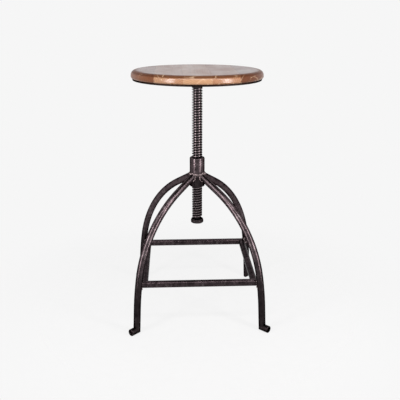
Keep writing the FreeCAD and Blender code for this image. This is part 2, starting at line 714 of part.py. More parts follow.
def make_flange_weld():
    """The bead between the spindle's head and the flange's boss."""
    ring = doc.addObject("Part::Torus", "BossBead")
    bind(ring, "Radius1", "shank_diameter / 2 + press_gap")
    bind(ring, "Radius2", "flange_bead")
    bind(ring, "Placement.Base.z", BOSS_BOTTOM)
    inside = doc.addObject("Part::Cylinder", "HeadSpace")
    bind(inside, "Radius", "shank_diameter / 2")
    bind(inside, "Height", "boss_height * 2")
    bind(inside, "Placement.Base.z", f"{BOSS_BOTTOM} - boss_height")
    above = doc.addObject("Part::Cylinder", "BossSpace")
    bind(above, "Radius", "boss_diameter")
    bind(above, "Height", "boss_height")
    bind(above, "Placement.Base.z", BOSS_BOTTOM)
    return cut_away("flange_weld", ring, [inside, above])


def check_and_export(pieces):
    """Stops on any failed object, then writes one file for each piece."""
    doc.recompute()
    for thing in doc.Objects:
        if "Invalid" in thing.State or "Error" in thing.State:
            raise RuntimeError(f"{thing.Name} ({thing.Label}) is in state {thing.State}")
    for piece in pieces:
        if piece.Shape.isNull() or not piece.Shape.isValid() or not piece.Shape.Solids:
            raise RuntimeError(f"{piece.Label} has no valid shape")
    os.makedirs("parts", exist_ok=True)
    for piece in pieces:
        piece.Shape.exportStep(os.path.join("parts", piece.Label + ".step"))
        print(f"{piece.Label}: {len(piece.Shape.Solids)} solids, {piece.Shape.Volume / 1000:.1f} cm3")


hub = make_hub()
legs = [make_leg(name, angle) for name, angle in CORNERS.items()]
feet = [make_foot(name, angle) for name, angle in CORNERS.items()]
stretchers = [make_stretcher(name, angle, legs) for name, angle in SIDES.items()]
frame = [hub] + legs + feet + stretchers
frame += [make_hub_welds(hub, legs), make_ring_welds(legs, stretchers)]
seat = make_seat_boards() + [make_seat_pan(), make_pan_screws(), make_flange(), make_flange_bolts()]
seat += [make_flange_weld(), make_spindle()] + make_stop()
check_and_export(frame + seat)
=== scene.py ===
import logging
import math
from dataclasses import dataclass
from enum import Enum
from functools import partialmethod

import bmesh
import bpy
from mathutils import Matrix, Vector
from mathutils.bvhtree import BVHTree


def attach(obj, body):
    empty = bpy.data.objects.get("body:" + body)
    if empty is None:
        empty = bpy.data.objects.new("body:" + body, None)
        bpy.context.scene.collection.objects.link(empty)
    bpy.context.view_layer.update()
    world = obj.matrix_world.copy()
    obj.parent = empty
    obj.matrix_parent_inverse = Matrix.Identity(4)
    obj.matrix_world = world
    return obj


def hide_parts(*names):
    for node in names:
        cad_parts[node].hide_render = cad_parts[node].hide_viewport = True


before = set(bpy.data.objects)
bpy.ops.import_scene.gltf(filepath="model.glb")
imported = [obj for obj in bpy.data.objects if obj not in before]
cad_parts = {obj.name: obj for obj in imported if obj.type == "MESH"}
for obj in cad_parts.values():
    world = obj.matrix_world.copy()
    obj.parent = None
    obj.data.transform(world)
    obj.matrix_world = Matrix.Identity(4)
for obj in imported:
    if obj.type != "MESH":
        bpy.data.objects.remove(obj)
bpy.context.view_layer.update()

LOG = logging.getLogger("stool")
MM = 0.001
FULL_TURN = 2 * math.pi
Point = tuple[float, float]
Triple = tuple[float, float, float]
Colour = tuple[float, float, float, float]
BMesh = bmesh.types.BMesh
Material, Mesh, Node = bpy.types.Material, bpy.types.Mesh, bpy.types.Node
Socket, Thing, Tree = bpy.types.NodeSocket, bpy.types.Object, bpy.types.NodeTree
Value = Socket | float | tuple


class Body(Enum):
    """Rigid bodies of the solid model that pieces ride on."""

    FRAME = "frame"
    WASHER = "lift_washer"
    SEAT = "seat"


class Slot(Enum):
    """Material slots of the record."""

    WOOD = "seat_wood"
    PAN = "pan_steel"
    FRAME = "frame_steel"
    SPINDLE = "spindle_steel"
    FASTENER = "fastener_steel"
    WELD = "weld_steel"


class Direction(Enum):
    """A direction about the spindle, in degrees."""

    @property
    def label(self) -> str:
        """Name of the direction as it stands in piece names."""
        return self.name.lower()


class Corner(Direction):
    """Directions of the four legs."""

    REAR_RIGHT = 45.0
    REAR_LEFT = 135.0
    FRONT_LEFT = 225.0
    FRONT_RIGHT = 315.0


class Side(Direction):
    """Directions of the four stretchers."""

    FRONT = 0.0
    RIGHT = 90.0
    REAR = 180.0
    LEFT = 270.0


@dataclass(frozen=True)
class Sizes:
    """Sizes in millimetres, the same as in the solid model except for the last seven."""

    seat_top: float = 682.0
    seat_radius: float = 175.0
    seat_thickness: float = 21.0
    seat_shoulder: float = 13.0
    seat_under: float = 5.0
    board_joints: tuple[float, ...] = (-111.0, -41.0, 29.0, 99.0)
    joint_round: float = 0.35
    pan_radius: float = 171.0
    pan_gauge: float = 2.0
    pan_rim: float = 4.6
    screw_circle: float = 145.0
    screw_head: float = 4.5
    screw_head_height: float = 2.6
    flange_radius: float = 46.0
    flange_thickness: float = 6.0
    boss_radius: float = 21.0
    boss_height: float = 11.0
    bolt_circle: float = 32.0
    bolt_flats: float = 13.0
    bolt_head_height: float = 5.3
    crest: float = 14.0
    root: float = 11.0
    pitch: float = 7.0
    crest_width: float = 2.3
    root_width: float = 2.3
    thread_gap: float = 0.35
    shank_radius: float = 14.3
    shank_length: float = 30.0
    shoulder: float = 266.0
    journal: float = 8.5
    washer_radius: float = 16.7
    washer_thickness: float = 3.0
    washer_gap: float = 0.3
    collar_radius: float = 17.8
    collar_height: float = 8.0
    pin_radius: float = 2.5
    hub_radius: float = 20.7
    hub_bottom: float = 363.5
    hub_length: float = 82.0
    hub_round: float = 4.0
    bar: float = 9.5
    crown_height: float = 401.7
    crown_slope: float = 28.5
    crown_run: float = 86.1
    knee_radius: float = 297.0
    knee_slope: float = 79.4
    shin_radius: float = 723.6
    shin_slope: float = 86.4
    toe_reach: float = 22.4
    sole_flat: float = 0.4
    ring_height: float = 132.6
    ring_bite: float = 1.9
    crest_over: float = 0.2
    root_under: float = 0.4
    fine_crest_half: float = 1.15
    fine_root_half: float = 2.1
    thread_rise: float = 5.5
    toe_round: float = 1.8
    slot_width: float = 1.2

    @property
    def wood_bottom(self) -> float:
        """Height of the wood's underside."""
        return self.seat_top - self.seat_thickness

    @property
    def pan_bottom(self) -> float:
        """Height of the underside of the pan's sheet."""
        return self.wood_bottom - self.pan_gauge

    @property
    def flange_bottom(self) -> float:
        """Height of the underside of the flange plate."""
        return self.pan_bottom - self.flange_thickness

    @property
    def boss_bottom(self) -> float:
        """Height of the lower end of the boss."""
        return self.flange_bottom - self.boss_height

    @property
    def shank_bottom(self) -> float:
        """Height at which the plain head ends and the thread starts."""
        return self.pan_bottom - self.shank_length

    @property
    def hub_top(self) -> float:
        """Height of the upper end of the hub."""
        return self.hub_bottom + self.hub_length

    @property
    def washer_top(self) -> float:
        """Height of the loose washer's upper face."""
        return self.shoulder - self.washer_gap

    @property
    def collar_top(self) -> float:
        """Height of the stop collar's upper face."""
        return self.washer_top - self.washer_thickness - self.washer_gap

    @property
    def collar_bottom(self) -> float:
        """Height of the spindle's lower end."""
        return self.collar_top - self.collar_height

    @property
    def sole_centre(self) -> float:
        """Height of the foot bar's centreline."""
        return self.bar - self.sole_flat


SIZE = Sizes()


@dataclass(frozen=True)
class LegPath:
    """Centreline of a leg as radius and height, bent the same way as in the solid model."""

    steps: int = 28

    @property
    def slopes(self) -> tuple[float, ...]:
        """Slopes of the crown and of the shin below the knee and at the ankle, in radians."""
        return tuple(math.radians(a) for a in (SIZE.crown_slope, SIZE.knee_slope, SIZE.shin_slope))

    def corners(self) -> list[Point]:
        """Ends of the straight runs and bends, from the axis to the ankle.

        Returns:
            Five points of radius and height in millimetres.
        """
        crown, upper, lower = self.slopes
        knee = (
            SIZE.crown_run * math.cos(crown),
            SIZE.crown_height - SIZE.crown_run * math.sin(crown),
        )
        shin = self._after_bend(knee, SIZE.knee_radius, crown, upper)
        low = self._after_bend(shin, SIZE.shin_radius, upper, lower)
        ankle = (low[0] + (low[1] - SIZE.sole_centre) / math.tan(lower), SIZE.sole_centre)
        return [(0.0, SIZE.crown_height), knee, shin, low, ankle]

    def points(self, beyond: float = 0.0) -> list[Point]:
        """Points along the whole centreline.

        Args:
            beyond: how far the line runs on past the ankle, in millimetres.

        Returns:
            Points of radius and height in millimetres.
        """
        crown, upper, lower = self.slopes
        start, knee, shin, low, ankle = self.corners()
        line = [start, ((start[0] + knee[0]) / 2, (start[1] + knee[1]) / 2)]
        for first, radius, shallow, steep in (
            (knee, SIZE.knee_radius, crown, upper),
            (shin, SIZE.shin_radius, upper, lower),
        ):
            for i in range(self.steps):
                slope = shallow + (steep - shallow) * i / self.steps
                line.append(self._after_bend(first, radius, shallow, slope))
        line += [low, ankle]
        if beyond:
            line.append((ankle[0] + beyond * math.cos(lower), ankle[1] - beyond * math.sin(lower)))
        return line

    def radius_at(self, height: float) -> float:
        """Radius of the centreline at a height.

        Args:
            height: millimetres above the floor.

        Returns:
            The radius in millimetres.
        """
        line = self.points()
        for (r0, z0), (r1, z1) in zip(line, line[1:]):
            if z1 <= height <= z0:
                return r0 + (r1 - r0) * (z0 - height) / (z0 - z1)
        raise ValueError(f"the leg has no height {height}")

    @staticmethod
    def _after_bend(start: Point, radius: float, shallow: float, steep: float) -> Point:
        """Where a bend ends.

        Args:
            start: where it starts, as radius and height.
            radius: radius of the bend.
            shallow: slope at its start in radians.
            steep: slope at its end in radians.

        Returns:
            Radius and height of the end.
        """
        return (
            start[0] + radius * (math.sin(steep) - math.sin(shallow)),
            start[1] - radius * (math.cos(shallow) - math.cos(steep)),
        )


LEG_PATH = LegPath()


def srgb(red: int, green: int, blue: int) -> Colour:
    """Linear colour of a display colour whose parts run from 0 to 255."""
    shares = (channel / 255 for channel in (red, green, blue))
    return (*(c / 12.92 if c <= 0.04045 else ((c + 0.055) / 1.055) ** 2.4 for c in shares), 1.0)


class Graph:
    """Short notation for building a node tree in code."""

    def __init__(self, tree: Tree) -> None:
        """Keeps the tree that the nodes go into."""
        self.tree = tree

    def node(self, kind: str, inputs: dict | None = None, **settings) -> Node:
        """Adds a node, sets its properties and fills its inputs.

        Args:
            kind: node type.
            inputs: values or sockets by input name or number.
            **settings: properties of the node.

        Returns:
            The new node.
        """
        node = self.tree.nodes.new(kind)
        for name, setting in settings.items():
            setattr(node, name, setting)
        for key, value in (inputs or {}).items():
            self.feed(node.inputs[key], value)
        return node

    def feed(self, socket: Socket, value: Value) -> None:
        """Links or sets one input.

        Args:
            socket: the input.
            value: an output socket, or a constant.
        """
        if isinstance(value, Socket):
            self.tree.links.new(value, socket)
        else:
            socket.default_value = value

    def math(
        self, operation: str, first: Value, second: Value = 0.0, clamp: bool = False
    ) -> Socket:
        """A maths node."""
        inputs = {0: first, 1: second}
        return self.node("ShaderNodeMath", inputs, operation=operation, use_clamp=clamp).outputs[0]

    times = partialmethod(math, "MULTIPLY")
    over = partialmethod(math, "DIVIDE")
    plus = partialmethod(math, "ADD")
    minus = partialmethod(math, "SUBTRACT")
    most = partialmethod(math, "MAXIMUM")
    least = partialmethod(math, "MINIMUM")

    def vector(self, operation: str, first: Value, second: Value = (0.0, 0.0, 0.0)) -> Socket:
        """A vector maths node.

        Args:
            operation: name of the operation.
            first: vector or socket.
            second: vector or socket.

        Returns:
            The vector output, or the value for a length or a dot product.
        """
        node = self.node("ShaderNodeVectorMath", {0: first, 1: second}, operation=operation)
        single = operation in ("LENGTH", "DOT_PRODUCT")
        return node.outputs[1 if single else 0]

    def scale(self, vector: Socket, factor: Triple) -> Socket:
        """A vector times a fixed factor for each axis."""
        return self.vector("MULTIPLY", vector, factor)

    def radius(self, place: Socket) -> Socket:
        """Distance of object coordinates from the spindle's axis."""
        return self.vector("LENGTH", self.scale(place, (1.0, 1.0, 0.0)))

    def noise(
        self,
        vector: Socket,
        scale: Value,
        detail: float = 3.0,
        rough: float = 0.5,
        warp: float = 0.0,
    ) -> Socket:
        """Noise from 0 to 1.

        Args:
            vector: place.
            scale: features per metre, a value or socket.
            detail: octaves.
            rough: share of the fine octaves.
            warp: distortion.

        Returns:
            The output socket.
        """
        inputs = {
            "Vector": vector,
            "Scale": scale,
            "Detail": detail,
            "Roughness": rough,
            "Distortion": warp,
        }
        return self.node("ShaderNodeTexNoise", inputs).outputs[0]

    def remap(
        self,
        value: Value,
        low: Value,
        high: Value,
        to_low: Value = 0.0,
        to_high: Value = 1.0,
        smooth: bool = False,
    ) -> Socket:
        """Maps a range onto another, held at both ends.

        Args:
            value: value or socket.
            low: start of the range.
            high: end of the range.
            to_low: result at the start.
            to_high: result at the end.
            smooth: whether the ramp eases in and out.

        Returns:
            The output socket.
        """
        inputs = {0: value, 1: low, 2: high, 3: to_low, 4: to_high}
        style = "SMOOTHSTEP" if smooth else "LINEAR"
        return self.node("ShaderNodeMapRange", inputs, interpolation_type=style).outputs[0]

    def mix(self, share: Value, first: Value, second: Value) -> Socket:
        """Blends two colours."""
        inputs = {0: share, 6: first, 7: second}
        return self.node("ShaderNodeMix", inputs, data_type="RGBA").outputs[2]

    def mix_value(self, share: Value, first: Value, second: Value) -> Socket:
        """Blends two values."""
        inputs = {0: share, 2: first, 3: second}
        return self.node("ShaderNodeMix", inputs, data_type="FLOAT").outputs[0]

    def split(self, vector: Socket) -> tuple[Socket, ...]:
        """The three parts of a vector."""
        return tuple(self.node("ShaderNodeSeparateXYZ", {0: vector}).outputs)

    def join(self, x: Value, y: Value, z: Value) -> Socket:
        """A vector of three values."""
        return self.node("ShaderNodeCombineXYZ", {0: x, 1: y, 2: z}).outputs[0]

    def group(self, tree: Tree, place: Socket, values: dict | None = None) -> dict[str, Socket]:
        """Uses a shared shader group at a place and gives its output sockets by name."""
        node = self.node("ShaderNodeGroup", {"Vector": place, **(values or {})}, node_tree=tree)
        return dict(node.outputs.items())


SOCKETS = {
    "float": "NodeSocketFloat",
    "int": "NodeSocketInt",
    "vector": "NodeSocketVector",
    "geometry": "NodeSocketGeometry",
    "material": "NodeSocketMaterial",
    "object": "NodeSocketObject",
}


def new_group(
    name: str, kind: str, inputs: dict[str, str | float], outputs: dict[str, str]
) -> tuple[Tree, Graph, dict[str, Socket], dict[str, Socket]]:
    """A node group with named inputs and outputs.

    Args:
        name: name of the group.
        kind: "ShaderNodeTree" or "GeometryNodeTree".
        inputs: kinds of the inputs by name, or the default values of numbers.
        outputs: kinds of the outputs by name.

    Returns:
        The group, its graph, the sockets of its inputs and the sockets of its outputs.
    """
    group = bpy.data.node_groups.new(name, kind)
    for label, value in inputs.items():
        sort = value if isinstance(value, str) else type(value).__name__
        item = group.interface.new_socket(label, in_out="INPUT", socket_type=SOCKETS[sort])
        if sort != value:
            item.default_value = value
    for label, sort in outputs.items():
        group.interface.new_socket(label, in_out="OUTPUT", socket_type=SOCKETS[sort])
    graph = Graph(group)
    given, out = graph.node("NodeGroupInput").outputs, graph.node("NodeGroupOutput").inputs
    return group, graph, dict(given.items()), dict(out.items())


def fresh_graph(owner: Material | bpy.types.World) -> Graph:
    """Empties the node tree of a material or world.

    Args:
        owner: what the nodes belong to.

    Returns:
        The graph of the empty tree.
    """
    owner.use_nodes = True
    owner.node_tree.nodes.clear()
    return Graph(owner.node_tree)


@dataclass
class ShaderGroups:
    """Node groups that the finishes share."""

    def __post_init__(self) -> None:
        """Builds the groups."""
        self.wood = self._wood()
        self.steel = self._steel()
        self.edges = self._edges()
        self.scratches = self._scratches()

    @staticmethod
    def _wood() -> Tree:
        """Solid wood cut from a log whose pith runs along Y: growth rings, fibres and pores.

        Returns:
            The group.
        """
        group, g, given, out = new_group(
            "WoodFigure",
            "ShaderNodeTree",
            {"Vector": "vector", "Board": 0.0, "Ring Width": 0.0042, "Waver": 0.009},
            {"Ring": "float", "Fibre": "float", "Pore": "float", "Cloud": "float"},
        )
        pith_height, pith_shift, pith_rise = 0.62, 0.05, 0.03
        board_step, sway_reach = 0.7, 0.03
        x, y, z = g.split(given["Vector"])
        board = given["Board"]
        shifted = g.plus(x, g.times(g.math("SINE", g.times(board, 12.9)), pith_shift))
        pith_z = g.plus(g.times(g.math("SINE", g.times(board, 7.3)), pith_rise), pith_height)
        own = g.join(shifted, g.plus(y, g.times(board, board_step)), z)
        bend = g.noise(g.scale(own, (1.0, 0.18, 1.0)), 26.0, 2.0, 0.5)
        sway = g.noise(g.scale(own, (0.4, 1.0, 0.4)), 5.0, 1.0, 0.4)
        away_x = g.plus(shifted, g.times(g.minus(sway, 0.5), sway_reach))
        distance = g.vector("LENGTH", g.join(away_x, 0.0, g.minus(z, pith_z)))
        path = g.plus(distance, g.times(g.minus(bend, 0.5), given["Waver"]))
        turns = g.math("FRACT", g.over(path, given["Ring Width"]))
        late = g.remap(turns, 0.35, 0.95, smooth=True)
        early = g.remap(turns, 0.97, 1.0, 1.0, 0.0)
        ring = g.times(late, early)
        fibre = g.noise(g.scale(own, (1.0, 0.022, 1.0)), 900.0, 3.0, 0.6)
        streak = g.noise(g.scale(own, (1.0, 0.03, 1.0)), 2300.0, 1.0, 0.5)
        pore = g.remap(streak, 0.66, 0.74)
        cloud = g.noise(g.scale(own, (1.0, 0.3, 1.0)), 16.0, 2.0, 0.5)
        for label, socket in (("Ring", ring), ("Fibre", fibre), ("Pore", pore), ("Cloud", cloud)):
            g.feed(out[label], socket)
        return group

    @staticmethod
    def _steel() -> Tree:
        """Old blackened steel: broad mottling, fine mill scale and rubbed patches.

        Returns:
            The group.
        """
        group, g, given, out = new_group(
            "SteelSkin",
            "ShaderNodeTree",
            {"Vector": "vector", "Patch Scale": 60.0, "Grain Scale": 900.0},
            {"Mottle": "float", "Rub": "float", "Grain": "float"},
        )
        place, patch = given["Vector"], given["Patch Scale"]
        broad = g.noise(place, patch, 4.0, 0.6, 0.3)
        streak = g.noise(g.scale(place, (1.0, 1.0, 0.4)), g.times(patch, 4.5), 3.0, 0.6)
        rub = g.noise(g.scale(place, (1.0, 1.0, 0.35)), patch, 6.0, 0.7)
        grain = g.noise(place, given["Grain Scale"], 4.0, 0.65)
        for label, socket, low, high in (
            ("Mottle", g.mix_value(0.3, broad, streak), 0.36, 0.64),
            ("Rub", rub, 0.55, 0.7),
            ("Grain", grain, 0.2, 0.8),
        ):
            g.feed(out[label], g.remap(socket, low, high))
        return group

    @staticmethod
    def _edges() -> Tree:
        """Mask of rubbed edges, broken up by noise.

        Returns:
            The group.
        """
        group, g, given, out = new_group(
            "EdgeWear",
            "ShaderNodeTree",
            {"Vector": "vector", "Reach": 0.0008, "Break Scale": 260.0},
            {"Mask": "float"},
        )
        rounded = g.node("ShaderNodeBevel", {0: given["Reach"]}, samples=4).outputs[0]
        normal = g.node("ShaderNodeNewGeometry").outputs["Normal"]
        turn = g.minus(1.0, g.vector("DOT_PRODUCT", rounded, normal))
        edge = g.remap(turn, 0.01, 0.09)
        broken = g.remap(g.noise(given["Vector"], given["Break Scale"], 3.0, 0.6), 0.4, 0.62)
        g.feed(out["Mask"], g.times(edge, broken, clamp=True))
        return group

    @staticmethod
    def _scratches() -> Tree:
        """Mask of thin scratches in scattered directions.

        Returns:
            The group.
        """
        group, g, given, out = new_group(
            "Scratches",
            "ShaderNodeTree",
            {"Vector": "vector", "Scale": 22.0, "Amount": 0.5},
            {"Mask": "float"},
        )
        total = None
        for turn, shift in ((0.35, 0.0), (-0.6, 3.1), (1.25, 7.7)):
            turned = g.node("ShaderNodeVectorRotate", {"Vector": given["Vector"], "Angle": turn})
            stretched = g.scale(turned.outputs[0], (1.0, 0.06, 1.0))
            moved = g.vector("ADD", stretched, (shift, shift, shift))
            inputs = {"Vector": moved, "Scale": given["Scale"]}
            cells = g.node("ShaderNodeTexVoronoi", inputs, feature="DISTANCE_TO_EDGE")
            line = g.remap(cells.outputs[0], 0.0, 0.011, 1.0, 0.0)
            gate = g.remap(g.noise(moved, 31.0, 2.0), 0.56, 0.66)
            one = g.times(line, gate)
            total = one if total is None else g.most(total, one)
        g.feed(out["Mask"], g.times(total, given["Amount"], clamp=True))
        return group


@dataclass(frozen=True)
class Mark:
    """A scratch through given points of the seat, in millimetres."""

    points: tuple[Triple, ...]
    width: float
    strength: float

    def mask(self, g: Graph, place: Socket) -> Socket:
        """Share of the scratch at a place.

        Args:
            g: the material's graph.
            place: object coordinates.

        Returns:
            Socket from 0 to 1.
        """
        total = None
        for start, end in zip(self.points, self.points[1:]):
            first, along = Vector(start) * MM, (Vector(end) - Vector(start)) * MM
            away = g.vector("SUBTRACT", place, tuple(first))
            reached = g.vector("DOT_PRODUCT", away, tuple(along))
            share = g.over(reached, along.length_squared, clamp=True)
            nearest = g.join(*(g.times(share, part) for part in along))
            distance = g.vector("LENGTH", g.vector("SUBTRACT", away, nearest))
            core, edge = self.width * 0.3 * MM, self.width * MM
            line = g.remap(distance, core, edge, self.strength, 0.0, True)
            total = line if total is None else g.most(total, line)
        return total


SLANTING_SCRATCH = Mark(
    points=((-85.0, -135.0, 682.0), (-88.5, -144.5, 679.5), (-92.7, -148.4, 669.7)),
    width=1.5,
    strength=0.85,
)
BENT_SCRATCH = Mark(
    points=(
        (-9.0, -174.8, 663.5),
        (-2.3, -175.0, 669.7),
        (7.1, -173.3, 675.1),
        (12.0, -174.4, 670.1),
    ),
    width=1.2,
    strength=0.5,
)


class Finish:
    """Base of the finishes: opens a material with a principled shader and object coordinates."""

    name: str

    def open(self) -> tuple[Material, Graph, Node, Socket]:
        """Starts the material.

        Returns:
            The material, its graph, the principled shader and the object coordinates.
        """
        material = bpy.data.materials.new(self.name)
        graph = fresh_graph(material)
        shader = graph.node("ShaderNodeBsdfPrincipled")
        graph.node("ShaderNodeOutputMaterial", {"Surface": shader.outputs[0]})
        return material, graph, shader, graph.node("ShaderNodeTexCoord").outputs["Object"]

    @staticmethod
    def bump(graph: Graph, shader: Node, height: Socket, depth: float, strength: float) -> None:
        """Gives the shader relief of a depth in metres from a height of 0 to 1."""
        inputs = {"Height": height, "Distance": depth, "Strength": strength}
        graph.feed(shader.inputs["Normal"], graph.node("ShaderNodeBump", inputs).outputs[0])


@dataclass(frozen=True)
class WoodFinish(Finish):
    """Varnished hardwood, dark on top and on the shoulder and paler round the side;
    the dark top and shoulder are partly stain and partly painted shade.

    The shares say how much of a layer shows, from 0 to 1. The zones are the distances from the
    seat's upper face, rim and lower face, in millimetres, over which a layer fades.
    """

    name: str = "seat_wood"
    pale: Colour = srgb(204, 162, 122)
    mid: Colour = srgb(172, 122, 84)
    deep: Colour = srgb(108, 60, 28)
    dark: Colour = srgb(74, 36, 14)
    # Colour of the flat top, dark partly as painted shade.
    top: Colour = srgb(76, 42, 50)
    nick: Colour = srgb(226, 196, 160)
    sheen: Colour = (0.95, 0.92, 1.0, 1.0)
    cloud_share: float = 0.45
    tone_share: float = 0.25
    stain_share: float = 0.88
    ring_share: float = 0.4
    fibre_share: float = 0.3
    pore_share: float = 0.5
    scratch_share: float = 0.7
    top_scratches: float = 0.3
    stain_zone: Point = (9.0, 4.0)
    rim_zone: Point = (20.0, 9.0)
    chip_zone: Point = (1.0, 4.5)
    gloss: float = 0.34
    top_coat: float = 0.42
    edge_coat: float = 0.12
    relief: float = 0.00012
    scars: tuple[Mark, ...] = (SLANTING_SCRATCH, BENT_SCRATCH)

    def build(self, groups: ShaderGroups) -> Material:
        """Makes the material.

        Args:
            groups: shared node groups.

        Returns:
            The material.
        """
        material, g, shader, place = self.open()
        tone, board = (
            g.node("ShaderNodeAttribute", attribute_name=name).outputs["Fac"]
            for name in ("board_tone", "board_number")
        )
        figure = g.group(groups.wood, place, {"Board": board})
        marks = g.group(groups.scratches, place, {"Scale": 15.0, "Amount": self.scratch_share})
        level = g.plus(tone, g.times(g.minus(figure["Cloud"], 0.5), self.cloud_share))
        ground = self.dark
        for start, end, shade in (
            (-0.6, 0.0, self.deep),
            (0.0, 0.5, self.mid),
            (0.5, 1.0, self.pale),
        ):
            ground = g.mix(g.remap(level, start, end), ground, shade)
        z = g.split(place)[2]
        upper = [(SIZE.seat_top - depth) * MM for depth in self.stain_zone]
        rim = [(SIZE.seat_radius - depth) * MM for depth in self.rim_zone]
        lower = [(SIZE.wood_bottom + rise) * MM for rise in self.chip_zone]
        # Stain and painted shade: near the upper face the wood darkens, to the dark colour on the
        # shoulder and the top colour on the flat top.
        height = g.remap(z, *upper, smooth=True)
        inner = g.remap(g.radius(place), *rim, 1.0, 0.0, True)
        stain_and_painted_shade = g.mix(inner, self.dark, g.mix(g.times(tone, self.tone_share), self.top, self.mid))
        colour = g.mix(g.times(height, self.stain_share), ground, stain_and_painted_shade)
        for layer, share, shade in (
            ("Ring", self.ring_share, self.dark),
            ("Fibre", self.fibre_share, self.deep),
            ("Pore", self.pore_share, self.dark),
        ):
            colour = g.mix(g.times(figure[layer], share), colour, shade)
        chips = g.remap(g.noise(g.scale(place, (1.0, 1.0, 0.6)), 150.0, 2.0, 0.6), 0.64, 0.67)
        chipped = g.times(chips, g.remap(z, *lower, 1.0, 0.0))
        kept = g.mix_value(inner, 1.0, self.top_scratches)
        bare = g.most(g.times(marks["Mask"], kept), chipped)
        for scar in self.scars:
            bare = g.most(bare, scar.mask(g, place))
        g.feed(shader.inputs["Base Color"], g.mix(bare, colour, self.nick))
        smear = g.noise(g.scale(place, (1.0, 0.5, 1.0)), 18.0, 4.0, 0.6)
        rubbed = g.times(height, g.minus(1.0, inner))
        full = g.mix_value(height, g.remap(tone, 0.0, 0.45, 0.1, 0.95), self.top_coat)
        shader.inputs["Specular Tint"].default_value = self.sheen
        for label, socket in (
            ("Roughness", g.remap(smear, 0.3, 0.7, self.gloss - 0.06, self.gloss + 0.12)),
            ("Specular IOR Level", g.remap(rubbed, 0.0, 1.0, 0.25, 0.05)),
            ("Coat Weight", g.mix_value(rubbed, full, self.edge_coat)),
            ("Coat Roughness", g.remap(smear, 0.3, 0.7, 0.14, 0.24)),
        ):
            g.feed(shader.inputs[label], socket)
        relief = g.minus(figure["Fibre"], g.times(figure["Pore"], 0.8))
        self.bump(g, shader, relief, self.relief, 0.5)
        return material


@dataclass(frozen=True)
class SteelFinish(Finish):
    """Blackened or browned steel with mottling, rubbed edges and fine relief.

    Rim is how bright the steel stays at a grazing angle, and upper the same where it faces up,
    which paints a sheen on the upward faces. Painted low shade darkens it towards the floor and
    painted hub shade darkens the hub below the legs, both painted shade. Grooves darkens the thread
    between its crests and its plain head.
    """

    name: str
    base: Colour
    mottled: Colour
    worn: Colour
    rough: float
    rim: float = 0.05
    upper: float = 0.35
    grime: float = 0.0
    soot: float = 0.0
    grooves: float = 0.0
    patch_scale: float = 60.0
    mottle: float = 0.6
    rub: float = 0.25
    wear: float = 0.6
    relief: float = 0.0001

    def build(self, groups: ShaderGroups) -> Material:
        """Makes the material.

        Args:
            groups: shared node groups.

        Returns:
            The material.
        """
        material, g, shader, place = self.open()
        skin = g.group(groups.steel, place, {"Patch Scale": self.patch_scale})
        marks = g.group(groups.scratches, place, {"Scale": 30.0, "Amount": 0.5})
        worn = g.times(skin["Rub"], self.rub)
        for mask in (g.group(groups.edges, place)["Mask"], marks["Mask"]):
            worn = g.most(worn, g.times(mask, self.wear))
        colour = g.mix(g.times(skin["Mottle"], self.mottle), self.base, self.mottled)
        colour = self._dirt(g, place, g.mix(worn, colour, self.worn))
        g.feed(shader.inputs["Base Color"], colour)
        shader.inputs["Metallic"].default_value = 1.0
        # Faces that point up get a brighter grazing reflection: a painted sheen on the tops.
        facing = g.split(g.node("ShaderNodeNewGeometry").outputs["Normal"])[2]
        rim_and_upward_sheen = g.remap(facing, 0.6, 0.95, self.rim, max(self.rim, self.upper), True)
        g.feed(shader.inputs["Specular Tint"], rim_and_upward_sheen)
        rough = g.plus(self.rough, g.times(skin["Mottle"], 0.12))
        g.feed(shader.inputs["Roughness"], g.minus(rough, g.times(worn, 0.16)))
        uneven = g.plus(skin["Grain"], g.times(skin["Mottle"], 1.5))
        self.bump(g, shader, uneven, self.relief, 0.6)
        return material

    def _dirt(self, g: Graph, place: Socket, colour: Socket) -> Socket:
        """Darkens the thread's grooves and plain head; paints shade near the floor and under legs.

        Args:
            g: the material's graph.
            place: object coordinates.
            colour: the colour before it is darkened.

        Returns:
            The darkened colour, painted shade included.
        """
        radius, height = g.radius(place), g.split(place)[2]
        crest, crown = SIZE.crest, SIZE.crown_height
        if self.grooves:
            deep = g.remap(radius, (crest - 0.3) * MM, (crest + 0.16) * MM, self.grooves, 0.0, True)
            plain = g.math("GREATER_THAN", radius, (crest + 0.24) * MM)
            colour = g.mix(g.most(deep, g.times(plain, 0.7)), colour, srgb(12, 10, 11))
        # Painted shade: the hub goes near black below the legs' crown, down to its lower end.
        if self.soot:
            near = g.math("LESS_THAN", radius, (SIZE.hub_radius + 0.5) * MM)
            inside = g.math("GREATER_THAN", height, (SIZE.hub_bottom - 1.0) * MM)
            under = g.remap(height, (crown - 12.0) * MM, (crown - 6.0) * MM, self.soot, 0.0, True)
            colour = g.mix(g.times(g.times(near, inside), under), colour, srgb(20, 16, 17))
        # Painted shade: the steel darkens to near black below 0.26 m, standing in for darker
        # reflections near the floor.
        if self.grime:
            low = g.remap(height, 0.1, 0.26, self.grime, 0.0, True)
            colour = g.mix(low, colour, srgb(16, 13, 14))
        return colour


